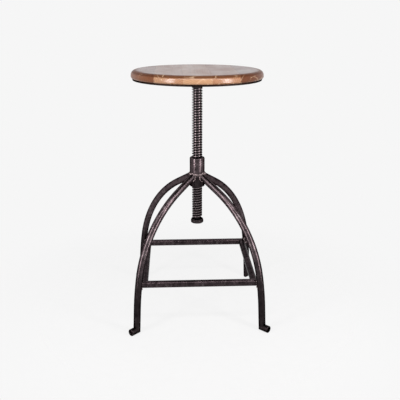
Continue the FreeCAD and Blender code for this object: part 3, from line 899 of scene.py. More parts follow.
@dataclass
class Palette:
    """Every material of the stool."""

    groups: ShaderGroups

    def __post_init__(self) -> None:
        """Builds the materials."""
        groups = self.groups
        self.wood = WoodFinish().build(groups)
        self.frame = SteelFinish(
            "frame_steel",
            srgb(50, 43, 45),
            srgb(98, 86, 89),
            srgb(168, 156, 158),
            0.17,
            mottle=0.75,
            # Painted shade towards the floor and on the hub below the legs.
            grime=0.75,
            soot=0.75,
        ).build(groups)
        self.ring = SteelFinish(
            "ring_steel",
            srgb(34, 28, 30),
            srgb(68, 58, 61),
            srgb(150, 138, 140),
            0.2,
            mottle=1.0,
            rim=0.5,
        ).build(groups)
        self.pan = SteelFinish(
            "pan_steel", srgb(30, 22, 20), srgb(50, 38, 34), srgb(120, 104, 96), 0.45, rub=0.12
        ).build(groups)
        self.spindle = SteelFinish(
            "spindle_steel",
            srgb(84, 75, 77),
            srgb(120, 108, 110),
            srgb(190, 178, 180),
            0.12,
            mottle=0.8,
            patch_scale=140.0,
            rim=0.0,
            grooves=0.95,
        ).build(groups)
        self.fastener = SteelFinish(
            "fastener_steel", srgb(62, 54, 52), srgb(84, 72, 66), srgb(176, 166, 158), 0.38
        ).build(groups)
        self.weld = SteelFinish(
            "weld_steel",
            srgb(92, 80, 82),
            srgb(140, 126, 126),
            srgb(200, 186, 184),
            0.34,
            patch_scale=220.0,
            relief=0.0003,
        ).build(groups)


def arc(centre: Point, radius: float, start: float, end: float, count: int) -> list[Point]:
    """Points on an arc of a profile.

    Args:
        centre: radius and height of the arc's centre.
        radius: radius of the arc.
        start: first angle in degrees, 0 outward and 90 up.
        end: last angle in degrees.
        count: number of points.

    Returns:
        The points, both ends included.
    """
    points = []
    for i in range(count):
        angle = math.radians(start + (end - start) * i / (count - 1))
        points.append((centre[0] + radius * math.cos(angle), centre[1] + radius * math.sin(angle)))
    return points


def lathe(profile: list[Point], segments: int = 128, closed: bool = False) -> BMesh:
    """A surface turned about Z.

    Args:
        profile: radius and height in millimetres; a radius of 0 makes a pole.
        segments: faces around.
        closed: whether the last point joins the first.

    Returns:
        A new mesh in metres.
    """
    bm = bmesh.new()
    rings = []
    for radius, height in profile:
        if radius < 1e-6:
            rings.append([bm.verts.new((0.0, 0.0, height * MM))])
            continue
        ring = []
        for i in range(segments):
            angle = FULL_TURN * i / segments
            x, y = radius * MM * math.cos(angle), radius * MM * math.sin(angle)
            ring.append(bm.verts.new((x, y, height * MM)))
        rings.append(ring)
    pairs = list(zip(rings, rings[1:]))
    if closed:
        pairs.append((rings[-1], rings[0]))
    for lower, upper in pairs:
        for i in range(segments):
            j = (i + 1) % segments
            below = (lower[i % len(lower)], lower[j % len(lower)])
            above = (upper[j % len(upper)], upper[i % len(upper)])
            unique = list(dict.fromkeys((*below, *above)))
            if len(unique) > 2:
                bm.faces.new(unique)
    if not closed:
        for ring in (rings[0], rings[-1]):
            if len(ring) > 1:
                bm.faces.new(ring)
    bmesh.ops.recalc_face_normals(bm, faces=bm.faces)
    return bm


def lying(axis: str, height: float) -> Matrix:
    """Tips what stands along Z over about X or Y and lifts it by millimetres."""
    return Matrix.Translation((0, 0, height * MM)) @ Matrix.Rotation(math.pi / 2, 4, axis)


def slice_off(bm: BMesh, point: Vector, normal: Vector) -> list[bmesh.types.BMEdge]:
    """Cuts away the side that the normal points to and caps the cut.

    Args:
        bm: the mesh, in metres.
        point: a point of the plane.
        normal: direction of what goes.

    Returns:
        Edges around the cap.
    """
    geometry = list(bm.verts) + list(bm.edges) + list(bm.faces)
    result = bmesh.ops.bisect_plane(
        bm, geom=geometry, dist=1e-7, plane_co=point, plane_no=normal, clear_outer=True
    )
    edges = [item for item in result["geom_cut"] if isinstance(item, bmesh.types.BMEdge)]
    faces = bmesh.ops.contextual_create(bm, geom=edges)["faces"]
    bmesh.ops.recalc_face_normals(bm, faces=bm.faces)
    return [edge for face in faces for edge in face.edges]


def to_mesh(bm: BMesh, name: str, sharp: float = 32.0) -> Mesh:
    """A finished mesh, smooth but for sharp edges.

    Args:
        bm: the mesh being built, which is freed.
        name: name of the mesh.
        sharp: edges that turn by more than this many degrees stay sharp.

    Returns:
        The mesh.
    """
    mesh = bpy.data.meshes.new(name)
    bm.to_mesh(mesh)
    bm.free()
    soften(mesh, sharp)
    return mesh


def soften(mesh: Mesh, sharp: float) -> None:
    """Smooth shading with sharp edges kept.

    Args:
        mesh: the mesh.
        sharp: edges that turn by more than this many degrees stay sharp.
    """
    mesh.polygons.foreach_set("use_smooth", [True] * len(mesh.polygons))
    mesh.set_sharp_from_angle(angle=math.radians(sharp))
    mesh.update()


def put(name: str, data: bpy.types.ID) -> Thing:
    """Links a new object to the scene.

    Args:
        name: name of the object.
        data: its mesh, curve, light or camera.

    Returns:
        The object.
    """
    thing = bpy.data.objects.new(name, data)
    bpy.context.scene.collection.objects.link(thing)
    return thing


def add_piece(node: str, mesh: Mesh, material: Material, body: Body) -> None:
    """Puts a finished mesh into the scene in the place of a solid-model node.

    Args:
        node: name of the node that it stands for.
        mesh: mesh in the shared frame.
        material: its finish.
        body: what it rides on.
    """
    mesh.materials.clear()
    mesh.materials.append(material)
    piece = put("fine_" + node, mesh)
    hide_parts(node)
    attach(piece, body.value)
    LOG.info("%s: %d faces", piece.name, len(mesh.polygons))


def turned(mesh: Mesh, degrees: float, name: str) -> Mesh:
    """A copy of a mesh turned about the spindle.

    Args:
        mesh: the mesh.
        degrees: angle about Z.
        name: name of the copy.

    Returns:
        The turned copy.
    """
    copy = mesh.copy()
    copy.name = name
    copy.transform(Matrix.Rotation(math.radians(degrees), 4, "Z"))
    return copy


def joined(meshes: list[Mesh], name: str, sharp: float = 32.0) -> Mesh:
    """Several meshes as one.

    Args:
        meshes: the meshes.
        name: name of the result.
        sharp: edges that turn by more than this many degrees stay sharp.

    Returns:
        The joined mesh.
    """
    bm = bmesh.new()
    for mesh in meshes:
        bm.from_mesh(mesh)
    return to_mesh(bm, name, sharp)


def poly_curve(points: list[Vector], name: str, cyclic: bool = False) -> Thing:
    """A curve object through points.

    Args:
        points: points in metres.
        name: name of the curve.
        cyclic: whether it closes.

    Returns:
        The object, linked to the scene.
    """
    curve = bpy.data.curves.new(name, "CURVE")
    curve.dimensions = "3D"
    spline = curve.splines.new("POLY")
    spline.points.add(len(points) - 1)
    for target, point in zip(spline.points, points):
        target.co = (*point, 1.0)
    spline.use_cyclic_u = cyclic
    return put(name, curve)


def circle(radius: float, height: float, count: int) -> list[Vector]:
    """Points in metres of a circle about the spindle that is given in millimetres."""
    angles = (FULL_TURN * i / count for i in range(count))
    return [Vector((radius * math.cos(a), radius * math.sin(a), height)) * MM for a in angles]


def evaluated(thing: Thing) -> Mesh:
    """Runs the modifiers of an object, keeps the mesh and removes the object.

    Args:
        thing: the object.

    Returns:
        The mesh as its modifiers make it.
    """
    bpy.context.view_layer.update()
    depsgraph = bpy.context.evaluated_depsgraph_get()
    mesh = bpy.data.meshes.new_from_object(thing.evaluated_get(depsgraph))
    thing.modifiers.clear()
    bpy.data.objects.remove(thing)
    return mesh


def bake(source: Thing, group: Tree, settings: dict, name: str) -> Mesh:
    """Runs a geometry node group on an object, keeps the mesh and removes the object.

    Args:
        source: the object that the group works on.
        group: the node group.
        settings: values of its inputs by name.
        name: name of the mesh.

    Returns:
        The mesh that the group made.
    """
    modifier = source.modifiers.new(group.name, "NODES")
    modifier.node_group = group
    for item in group.interface.items_tree:
        if item.item_type == "SOCKET" and item.in_out == "INPUT" and item.name in settings:
            modifier[item.identifier] = settings[item.name]
    mesh = evaluated(source)
    mesh.name = name
    return mesh


def blank_object(mesh: Mesh | None = None) -> Thing:
    """A passing object, empty or with a mesh, that a node group works on."""
    return put("work", mesh or bpy.data.meshes.new("work"))


class GeometryGroups:
    """Node groups that make what repeats or follows a path."""

    def __init__(self) -> None:
        """Builds the groups."""
        self.sweep = self._sweep()
        self.thread = self._thread()
        self.circle = self._circle()
        self.ripples = self._ripples()

    @staticmethod
    def _open(name: str, inputs: dict[str, str | float]) -> tuple:
        """Starts a group, by new_group, that takes geometry and a material and gives geometry."""
        inputs = {"Geometry": "geometry", **inputs, "Material": "material"}
        return new_group(name, "GeometryNodeTree", inputs, {"Geometry": "geometry"})

    @staticmethod
    def _finish(g: Graph, geometry: Socket, given: dict, out: dict) -> None:
        """Closes a group: real geometry, smooth shading and its material.

        Args:
            g: the group's graph.
            geometry: what the group made.
            given: sockets of its inputs.
            out: sockets of its outputs.
        """
        real = g.node("GeometryNodeRealizeInstances", {0: geometry})
        smooth = g.node("GeometryNodeSetShadeSmooth", {0: real.outputs[0]})
        inputs = {"Geometry": smooth.outputs[0], "Material": given["Material"]}
        g.feed(out["Geometry"], g.node("GeometryNodeSetMaterial", inputs).outputs[0])

    def _sweep(self) -> Tree:
        """A round bar along a curve.

        Returns:
            The group.
        """
        group, g, given, out = self._open("RoundBar", {"Radius": SIZE.bar * MM, "Sides": 48})
        inputs = {"Resolution": given["Sides"], "Radius": given["Radius"]}
        section = g.node("GeometryNodeCurvePrimitiveCircle", inputs).outputs[0]
        inputs = {"Curve": given["Geometry"], "Profile Curve": section, "Fill Caps": True}
        self._finish(g, g.node("GeometryNodeCurveToMesh", inputs).outputs[0], given, out)
        return group

    def _thread(self) -> Tree:
        """A helical ridge about Z, laid out as one long strip that follows the helix.

        Returns:
            The group.
        """
        group, g, given, out = self._open(
            "ScrewThread",
            {
                "Crest": SIZE.crest * MM,
                "Root": SIZE.root * MM,
                "Pitch": SIZE.pitch * MM,
                "Crest Half": SIZE.crest_width / 2 * MM,
                "Root Half": (SIZE.pitch - SIZE.root_width) / 2 * MM,
                "Ridge Height": 0.0,
                "Bottom": 0.0,
                "Top": 0.1,
                "Turns": 10.0,
                "Steps": 640,
                "Across": 21,
                "Run Out": 0.2,
            },
        )
        turns, pitch = given["Turns"], given["Pitch"]
        inputs = {
            "Size X": turns,
            "Size Y": 1.0,
            "Vertices X": given["Steps"],
            "Vertices Y": given["Across"],
        }
        strip = g.node("GeometryNodeMeshGrid", inputs)
        x, y, _ = g.split(g.node("GeometryNodeInputPosition").outputs[0])
        turn = g.minus(g.plus(x, g.over(turns, 2.0)), 1.0)
        across = g.times(y, pitch)
        raw = g.plus(g.plus(g.times(turn, pitch), across), given["Ridge Height"])
        height = g.least(g.most(raw, given["Bottom"]), given["Top"])
        away = g.math("ABSOLUTE", across)
        flank = g.remap(away, given["Crest Half"], given["Root Half"], 1.0, 0.0, True)
        entry = g.remap(turn, 0.0, given["Run Out"], smooth=True)
        span = g.minus(given["Crest"], given["Root"])
        radius = g.plus(given["Root"], g.times(span, g.times(flank, entry)))
        angle = g.times(turn, FULL_TURN)
        x, y = (g.times(radius, g.math(part, angle)) for part in ("COSINE", "SINE"))
        inputs = {"Geometry": strip.outputs[0], "Position": g.join(x, y, height)}
        self._finish(g, g.node("GeometryNodeSetPosition", inputs).outputs[0], given, out)
        return group

    def _circle(self) -> Tree:
        """Copies of one piece around the spindle, each turned by its own small angle.

        Returns:
            The group.
        """
        group, g, given, out = self._open(
            "BoltCircle",
            {
                "Piece": "object",
                "Count": 4,
                "Radius": 0.03,
                "Height": 0.6,
                "First Angle": 0.0,
                "Turn": 6.28,
                "Seed": 3,
            },
        )
        inputs = {"Vertices": given["Count"], "Radius": given["Radius"]}
        inputs = {
            "Geometry": g.node("GeometryNodeMeshCircle", inputs).outputs[0],
            "Translation": g.join(0.0, 0.0, given["Height"]),
            "Rotation": g.join(0.0, 0.0, given["First Angle"]),
        }
        lifted = g.node("GeometryNodeTransform", inputs).outputs[0]
        inputs = {"Min": 0.0, "Max": 1.0, "Seed": given["Seed"]}
        own_turn = g.node("FunctionNodeRandomValue", inputs, data_type="FLOAT").outputs[1]
        piece = g.node("GeometryNodeObjectInfo", {"Object": given["Piece"]}).outputs["Geometry"]
        inputs = {
            "Points": lifted,
            "Instance": piece,
            "Rotation": g.join(0.0, 0.0, g.times(own_turn, given["Turn"])),
        }
        self._finish(g, g.node("GeometryNodeInstanceOnPoints", inputs).outputs[0], given, out)
        return group

    def _ripples(self) -> Tree:
        """A weld bead: overlapping flattened drops along a curve.

        Returns:
            The group.
        """
        group, g, given, out = self._open(
            "WeldRipples", {"Radius": 0.0024, "Spacing": 0.0014, "Uneven": 0.18, "Seed": 1}
        )
        inputs = {"Curve": given["Geometry"], "Length": given["Spacing"]}
        points = g.node("GeometryNodeCurveToPoints", inputs, mode="LENGTH").outputs
        inputs = {"Radius": given["Radius"], "Subdivisions": 3}
        drop = g.node("GeometryNodeMeshIcoSphere", inputs).outputs[0]
        low, high = g.minus(1.0, given["Uneven"]), g.plus(1.0, given["Uneven"])
        inputs = {
            0: g.join(low, low, g.times(low, 0.55)),
            1: g.join(high, high, g.times(high, 0.75)),
            "Seed": given["Seed"],
        }
        sizes = g.node("FunctionNodeRandomValue", inputs, data_type="FLOAT_VECTOR").outputs[0]
        inputs = {
            "Points": points["Points"],
            "Instance": drop,
            "Rotation": points["Rotation"],
            "Scale": sizes,
        }
        self._finish(g, g.node("GeometryNodeInstanceOnPoints", inputs).outputs[0], given, out)
        return group

    def bar(self, line: list[Vector], material: Material) -> BMesh:
        """A round bar along a line, closed at both ends.

        Args:
            line: points in metres.
            material: its finish.

        Returns:
            A new mesh in metres.
        """
        settings = {"Sides": 64, "Material": material}
        bm = bmesh.new()
        bm.from_mesh(bake(poly_curve(line, "bar_line"), self.sweep, settings, "bar"))
        bmesh.ops.remove_doubles(bm, verts=bm.verts, dist=1e-6)
        return bm

    def bead(
        self,
        line: list[Vector],
        radius: float,
        seed: int,
        material: Material,
        spacing: float = 1.4,
        closed: bool = True,
    ) -> Mesh:
        """A weld bead along a line.

        Args:
            line: points in metres.
            radius: radius of its drops in millimetres.
            seed: seed of the drops' sizes.
            material: its finish.
            spacing: distance from drop to drop in millimetres.
            closed: whether the line closes.

        Returns:
            The bead.
        """
        settings = {"Radius": radius * MM, "Spacing": spacing * MM}
        settings |= {"Seed": seed, "Material": material}
        return bake(poly_curve(line, "bead_line", closed), self.ripples, settings, "bead")


@dataclass
class Seat:
    """Wooden seat, its pan, flange and fasteners, with the boards' tones from left to right."""

    palette: Palette
    shapes: GeometryGroups
    tones: tuple[float, ...] = (0.05, 0.58, 0.8, 0.48, -0.3)
    segments: int = 360
    screws: int = 6
    bolts: int = 4

    def build(self) -> None:
        """Makes every piece of the seat."""
        self._boards()
        self._pan()
        self._flange()
        self._screws()
        self._bolts()

    def _blank(self) -> BMesh:
        """The whole round seat before it is parted into boards.

        Returns:
            A new mesh in metres.
        """
        top, low, rim = SIZE.seat_top, SIZE.wood_bottom, SIZE.seat_radius
        small, shoulder = SIZE.seat_under, SIZE.seat_shoulder
        under = arc((rim - small, low + small), small, -90, 0, 9)
        upper = arc((rim - shoulder, top - shoulder), shoulder, 0, 90, 17)
        inner = rim - shoulder - 4.0
        return lathe([(inner, low), *under, *upper, (inner, top)], self.segments)

    def _boards(self) -> None:
        """Parts the blank at its glue joints, with the arrises just broken."""
        limits = (-math.inf, *SIZE.board_joints, math.inf)
        for number, (left, right) in enumerate(zip(limits, limits[1:]), start=1):
            bm = self._blank()
            for joint, direction in ((left, -1.0), (right, 1.0)):
                if math.isfinite(joint):
                    self._part(bm, joint, direction)
            name = f"seat_board_{number}"
            mesh = to_mesh(bm, name, sharp=40.0)
            for label, value in (("board_tone", self.tones[number - 1]), ("board_number", number)):
                attribute = mesh.attributes.new(label, "FLOAT", "POINT")
                attribute.data.foreach_set("value", [float(value)] * len(mesh.vertices))
            add_piece(name, mesh, self.palette.wood, Body.SEAT)

    @staticmethod
    def _part(bm: BMesh, joint: float, direction: float) -> None:
        """Cuts the blank at a joint and rounds the arris.

        Args:
            bm: the seat in metres.
            joint: place of the joint along X in millimetres.
            direction: -1 to keep what lies to the right of it, 1 for the left.
        """
        snap = 2.5 * SIZE.joint_round * MM
        for vertex in bm.verts:
            if abs(vertex.co.x - joint * MM) < snap:
                radius = math.hypot(vertex.co.x, vertex.co.y)
                along = math.sqrt(max(radius**2 - (joint * MM) ** 2, 0.0))
                vertex.co.x = joint * MM
                vertex.co.y = math.copysign(along, vertex.co.y)
        edges = slice_off(bm, Vector((joint * MM, 0, 0)), Vector((direction, 0, 0)))
        offset = SIZE.joint_round * MM
        bmesh.ops.bevel(bm, geom=edges, offset=offset, segments=2, profile=0.5, affect="EDGES")

    def _pan(self) -> None:
        """Sheet pan with a rounded, turned-down rim."""
        rim, gauge = SIZE.pan_radius, SIZE.pan_gauge
        lip, top, sheet = SIZE.wood_bottom - SIZE.pan_rim, SIZE.wood_bottom, SIZE.pan_bottom
        profile = [(0.0, sheet), (rim - gauge - 3.0, sheet)]
        profile += arc((rim - gauge - 0.9, sheet - 0.9), 0.9, 90, 0, 5)
        profile += arc((rim - gauge / 2, lip + gauge / 2), gauge / 2, 180, 360, 11)
        profile += arc((rim - 1.2, top - 1.2), 1.2, 0, 90, 7)
        profile += [(0.0, top)]
        mesh = to_mesh(lathe(profile, 256), "seat_pan")
        add_piece("seat_pan", mesh, self.palette.pan, Body.SEAT)

    def _flange(self) -> None:
        """Round flange and boss, with the bead that joins the boss to the spindle."""
        plate, boss = SIZE.flange_radius, SIZE.boss_radius
        sheet, low, end = SIZE.pan_bottom, SIZE.flange_bottom, SIZE.boss_bottom
        profile = [(SIZE.shank_radius, end)]
        profile += arc((boss - 1.0, end + 1.0), 1.0, -90, 0, 6)
        profile += arc((boss + 2.0, low - 2.0), 2.0, 180, 90, 7)
        profile += arc((plate - 1.0, low + 1.0), 1.0, -90, 0, 6)
        profile += [(plate, sheet), (SIZE.shank_radius, sheet)]
        mesh = to_mesh(lathe(profile, 160, closed=True), "spindle_flange")
        add_piece("spindle_flange", mesh, self.palette.pan, Body.SEAT)
        seam = circle(SIZE.shank_radius + 0.3, end, 96)
        bead = self.shapes.bead(seam, 2.2, 11, self.palette.weld)
        add_piece("flange_weld", bead, self.palette.weld, Body.SEAT)

    def _screws(self) -> None:
        """Slotted round heads under the pan."""
        head, height = SIZE.screw_head, SIZE.screw_head_height
        dome = ((0.0, 1.0), (0.5, 0.96), (0.78, 0.78), (0.95, 0.4), (1.0, 0.0), (0.0, 0.0))
        bm = lathe([(head * out, -height * down) for out, down in dome], 40)
        slot = bmesh.new()
        bmesh.ops.create_cube(slot, size=1.0)
        size = (3 * head * MM, SIZE.slot_width * MM, height * 0.9 * MM)
        bmesh.ops.scale(slot, verts=slot.verts, vec=size)
        bmesh.ops.translate(slot, verts=slot.verts, vec=(0, 0, -height * MM))
        mesh = self._carved(to_mesh(bm, "head"), to_mesh(slot, "slot"), "DIFFERENCE")
        level, any_turn = SIZE.pan_bottom, 6.28
        self._on_circle("pan_screws", mesh, self.screws, SIZE.screw_circle, level, 0.0, any_turn)

    def _bolts(self) -> None:
        """Hexagon heads under the flange, with turned corners."""
        half, height = SIZE.bolt_flats / 2, SIZE.bolt_head_height
        corner = half / math.cos(math.radians(30))
        hexagon = lathe([(corner, -height), (corner, 0.0)], 6)
        clear = corner * 1.02
        turned_form = lathe([(half * 0.9, -height), (clear, -height + 1.1), (clear, 0.0)], 64)
        corners = to_mesh(turned_form, "corners")
        mesh = self._carved(to_mesh(hexagon, "hexagon"), corners, "INTERSECT")
        level, first, sixth = SIZE.flange_bottom, math.pi / 4, 1.05
        self._on_circle("flange_bolts", mesh, self.bolts, SIZE.bolt_circle, level, first, sixth)

    @staticmethod
    def _carved(first: Mesh, second: Mesh, operation: str) -> Mesh:
        """One mesh cut by, or cut down to, another.

        Args:
            first: mesh that stays.
            second: mesh that cuts.
            operation: "DIFFERENCE" or "INTERSECT".

        Returns:
            The result.
        """
        base, tool = blank_object(first), blank_object(second)
        modifier = base.modifiers.new("cut", "BOOLEAN")
        modifier.operation = operation
        modifier.object = tool
        mesh = evaluated(base)
        bpy.data.objects.remove(tool)
        soften(mesh, 25.0)
        return mesh

    def _on_circle(
        self,
        name: str,
        mesh: Mesh,
        count: int,
        radius: float,
        height: float,
        first: float,
        turn: float,
    ) -> None:
        """Sets copies of a head around the spindle as one piece.

        Args:
            name: name of the solid-model node.
            mesh: one head, with its bearing face at height 0.
            count: number of copies.
            radius: radius of their circle in millimetres.
            height: height of the bearing face in millimetres.
            first: angle of the first in radians.
            turn: largest own turn in radians.
        """
        head = blank_object(mesh)
        settings = {
            "Piece": head,
            "Count": count,
            "Radius": radius * MM,
            "Height": height * MM,
            "First Angle": first,
            "Turn": turn,
            "Material": self.palette.fastener,
        }
        whole = bake(blank_object(), self.shapes.circle, settings, name)
        bpy.data.objects.remove(head)
        soften(whole, 25.0)
        add_piece(name, whole, self.palette.fastener, Body.SEAT)


@dataclass
class Spindle:
    """Threaded spindle with its end stop."""

    palette: Palette
    shapes: GeometryGroups

    def build(self) -> None:
        """Makes the spindle, washer, collar and pin."""
        self._spindle()
        self._stop()

    def _spindle(self) -> None:
        """Plain head, thread and journal."""
        low, high = SIZE.shoulder, SIZE.shank_bottom + SIZE.thread_rise
        turns = math.ceil((high - low) / SIZE.pitch) + 2
        settings = {
            "Crest": (SIZE.crest + SIZE.crest_over) * MM,
            "Root": (SIZE.root - SIZE.root_under) * MM,
            "Crest Half": SIZE.fine_crest_half * MM,
            "Root Half": SIZE.fine_root_half * MM,
            "Ridge Height": (low + SIZE.pitch / 2) * MM,
            "Bottom": low * MM,
            "Top": high * MM,
            "Turns": float(turns),
            "Steps": turns * 56 + 1,
            "Across": 23,
            "Run Out": 0.15,
            "Material": self.palette.spindle,
        }
        thread = bake(blank_object(), self.shapes.thread, settings, "thread")
        root, shank, journal, end = SIZE.root, SIZE.shank_radius, SIZE.journal, SIZE.collar_bottom
        head = [(root, high), (shank - 0.8, high), (shank, high + 0.8), (shank, SIZE.pan_bottom)]
        tail = [(journal - 0.6, end), (journal, end + 0.6), (journal, low), (root, low)]
        parts = [thread, *(to_mesh(lathe(profile, 96), "end") for profile in (head, tail))]
        self._add("spindle", joined(parts, "spindle", 50.0), Body.SEAT)

    def _add(self, node: str, mesh: Mesh, body: Body) -> None:
        """Adds a piece of spindle steel."""
        add_piece(node, mesh, self.palette.spindle, body)

    def _stop(self) -> None:
        """Loose washer, pinned collar and pin."""
        top, rim = SIZE.washer_top, SIZE.washer_radius
        low, bore = top - SIZE.washer_thickness, SIZE.journal + SIZE.washer_gap
        profile = [(bore, low), (rim - 0.4, low), (rim, low + 0.4)]
        profile += [(rim, top - 0.6), (rim - 0.6, top), (bore, top)]
        mesh = to_mesh(lathe(profile, 96, closed=True), "stop_washer")
        self._add("stop_washer", mesh, Body.WASHER)

        top, low, rim = SIZE.collar_top, SIZE.collar_bottom, SIZE.collar_radius
        bore = SIZE.journal + 0.05
        profile = [(bore, low)]
        profile += arc((rim - 2.8, low + 2.8), 2.8, -90, 0, 9)
        profile += arc((rim - 1.0, top - 1.0), 1.0, 0, 90, 6)
        profile += [(bore, top)]
        mesh = to_mesh(lathe(profile, 96, closed=True), "stop_collar")
        self._add("stop_collar", mesh, Body.SEAT)

        middle, reach, pin = low + SIZE.collar_height / 2, rim - 0.5, SIZE.pin_radius
        profile = [(0.0, -reach), (pin - 0.5, -reach), (pin, 0.5 - reach)]
        profile += [(radius, -height) for radius, height in reversed(profile)]
        mesh = to_mesh(lathe(profile, 40), "stop_pin")
        mesh.transform(lying("X", middle))
        add_piece("stop_pin", mesh, self.palette.fastener, Body.SEAT)


@dataclass
class Base:
    """Hub, legs, feet, foot ring and their welds."""

    palette: Palette
    shapes: GeometryGroups

    def build(self) -> None:
        """Makes every piece of the base."""
        hub = self._hub()
        leg = self._legs()
        self._feet()
        self._stretchers()
        self._hub_welds(hub)
        self._ring_welds(leg)

    def _hub(self) -> Mesh:
        """Hub with a rounded upper edge and a real inner thread.

        Returns:
            Its mesh.
        """
        low, top, rim, rounding = SIZE.hub_bottom, SIZE.hub_top, SIZE.hub_radius, SIZE.hub_round
        gap = SIZE.thread_gap
        mouth = SIZE.crest + gap
        outline = [(mouth, low), (rim - 0.8, low)]
        outline += arc((rim - 0.8, low + 0.8), 0.8, -90, 0, 5)[1:]
        outline += arc((rim - rounding, top - rounding), rounding, 0, 90, 11)
        outline += [(mouth, top)]
        first = SIZE.shoulder + SIZE.pitch / 2
        start = first + SIZE.pitch * (math.floor((low - first) / SIZE.pitch) - 1)
        turns = math.ceil((top - start) / SIZE.pitch) + 2
        settings = {
            "Crest": mouth * MM,
            "Root": (SIZE.root + gap) * MM,
            "Crest Half": (SIZE.crest_width / 2 + gap) * MM,
            "Root Half": ((SIZE.pitch - SIZE.root_width) / 2 + gap) * MM,
            "Ridge Height": start * MM,
            "Bottom": (low + 0.02) * MM,
            "Top": (top - 0.02) * MM,
            "Turns": float(turns),
            "Steps": turns * 48 + 1,
            "Across": 15,
            "Run Out": -1.0,
            "Material": self.palette.frame,
        }
        thread = bake(blank_object(), self.shapes.thread, settings, "inner_thread")
        thread.flip_normals()
        skin = to_mesh(lathe(outline, 128, closed=True), "skin")
        mesh = joined([skin, thread], "hub", 40.0)
        add_piece("hub", mesh, self.palette.frame, Body.FRAME)
        return mesh

    @staticmethod
    def _all_round(prefix: str, first: Mesh, places: type[Direction], material: Material) -> None:
        """Adds a piece of the frame in each direction.

        Args:
            prefix: start of the names of the solid-model nodes.
            first: mesh that lies along X.
            places: the directions.
            material: its finish.
        """
        for place in places:
            name = f"{prefix}_{place.label}"
            add_piece(name, turned(first, place.value, name), material, Body.FRAME)

    def _legs(self) -> Mesh:
        """Four bent bars, mitred at the ankle and worn flat at the floor.

        Returns:
            Mesh of a leg along X.
        """
        inside = SIZE.hub_radius * 0.6
        line = [Vector((r, 0, z)) * MM for r, z in LEG_PATH.points(SIZE.bar * 3) if r > inside]
        bm = self.shapes.bar([self._on_crown(inside), *line], self.palette.frame)
        slice_off(bm, self._ankle(), self._mitre())
        self._stand(bm)
        first = to_mesh(bm, "leg", 30.0)
        self._all_round("leg", first, Corner, self.palette.frame)
        return first

    @staticmethod
    def _on_crown(radius: float) -> Vector:
        """Point in metres of the leg's straight upper run at a radius in millimetres."""
        fall = radius * math.tan(math.radians(SIZE.crown_slope))
        return Vector((radius, 0, SIZE.crown_height - fall)) * MM

    @staticmethod
    def _ankle() -> Vector:
        """Where the centrelines of leg and foot meet, in metres."""
        radius, height = LEG_PATH.corners()[-1]
        return Vector((radius, 0, height)) * MM

    @staticmethod
    def _mitre() -> Vector:
        """Normal of the mitre plane at the ankle.

        Returns:
            Unit vector towards the foot.
        """
        slope = math.radians(SIZE.shin_slope)
        down, out = Vector((math.cos(slope), 0, -math.sin(slope))), Vector((1, 0, 0))
        return (down + out).normalized()

    @staticmethod
    def _stand(bm: BMesh) -> None:
        """Flattens what would reach below the floor."""
        for vertex in bm.verts:
            vertex.co.z = max(vertex.co.z, 0.0)

    def _feet(self) -> None:
        """Four turned-out bar stubs."""
        ankle, bar, worn = self._ankle(), SIZE.bar, SIZE.toe_round
        middle = ankle.x / MM
        toe, heel = middle + SIZE.toe_reach, middle - 3 * bar
        profile = [(0.0, heel), (bar, heel), (bar, middle), (bar, toe - worn)]
        profile += arc((bar - worn, toe - worn), worn, 0, 90, 9)[1:] + [(0.0, toe)]
        bm = lathe(profile, 64)
        bmesh.ops.transform(bm, matrix=lying("Y", SIZE.sole_centre), verts=bm.verts)
        slice_off(bm, ankle, -self._mitre())
        self._stand(bm)
        self._all_round("foot", to_mesh(bm, "foot", 30.0), Corner, self.palette.frame)

    def _stretchers(self) -> None:
        """Four bars of the foot ring, mitred at the corners."""
        half = self._ring_half()
        reach = half + 2 * SIZE.bar
        places = (-reach, -reach / 2, 0, reach / 2, reach)
        line = [Vector((x, -half, SIZE.ring_height)) * MM for x in places]
        bm = self.shapes.bar(line, self.palette.ring)
        for side in (-1, 1):
            corner = Vector((side * half, -half, SIZE.ring_height)) * MM
            slice_off(bm, corner, Vector((side, 1, 0)).normalized())
        self._all_round("stretcher", to_mesh(bm, "stretcher", 30.0), Side, self.palette.ring)

    @staticmethod
    def _ring_half() -> float:
        """Half the ring's width between centrelines, in millimetres."""
        corner = LEG_PATH.radius_at(SIZE.ring_height) - SIZE.bar
        return (corner + SIZE.ring_bite) / math.sqrt(2) - SIZE.bar

    @staticmethod
    def _seam(target: BVHTree, start: Vector, direction: Vector, count: int = 72) -> list[Vector]:
        """Where a round bar's skin meets another piece.

        Args:
            target: the other piece.
            start: point on the bar's centreline, clear of the other piece.
            direction: along the bar, towards the other piece.
            count: rays around the bar.

        Returns:
            Points of the seam, in order round the bar.
        """
        first = direction.orthogonal().normalized()
        second = direction.cross(first).normalized()
        seam = []
        for i in range(count):
            angle = FULL_TURN * i / count
            out = first * math.cos(angle) + second * math.sin(angle)
            edge = start + SIZE.bar * MM * out
            hit = target.ray_cast(edge, direction)[0]
            if hit is not None:
                seam.append(hit)
        return seam

    @staticmethod
    def _tree(mesh: Mesh) -> BVHTree:
        """A search tree of a mesh for rays.

        Args:
            mesh: the mesh.

        Returns:
            The tree.
        """
        bm = bmesh.new()
        bm.from_mesh(mesh)
        tree = BVHTree.FromBMesh(bm)
        bm.free()
        return tree

    def _add_beads(self, node: str, beads: list[Mesh]) -> None:
        """Adds weld beads as one piece."""
        mesh = joined(beads, node, 60.0)
        add_piece(node, mesh, self.palette.weld, Body.FRAME)

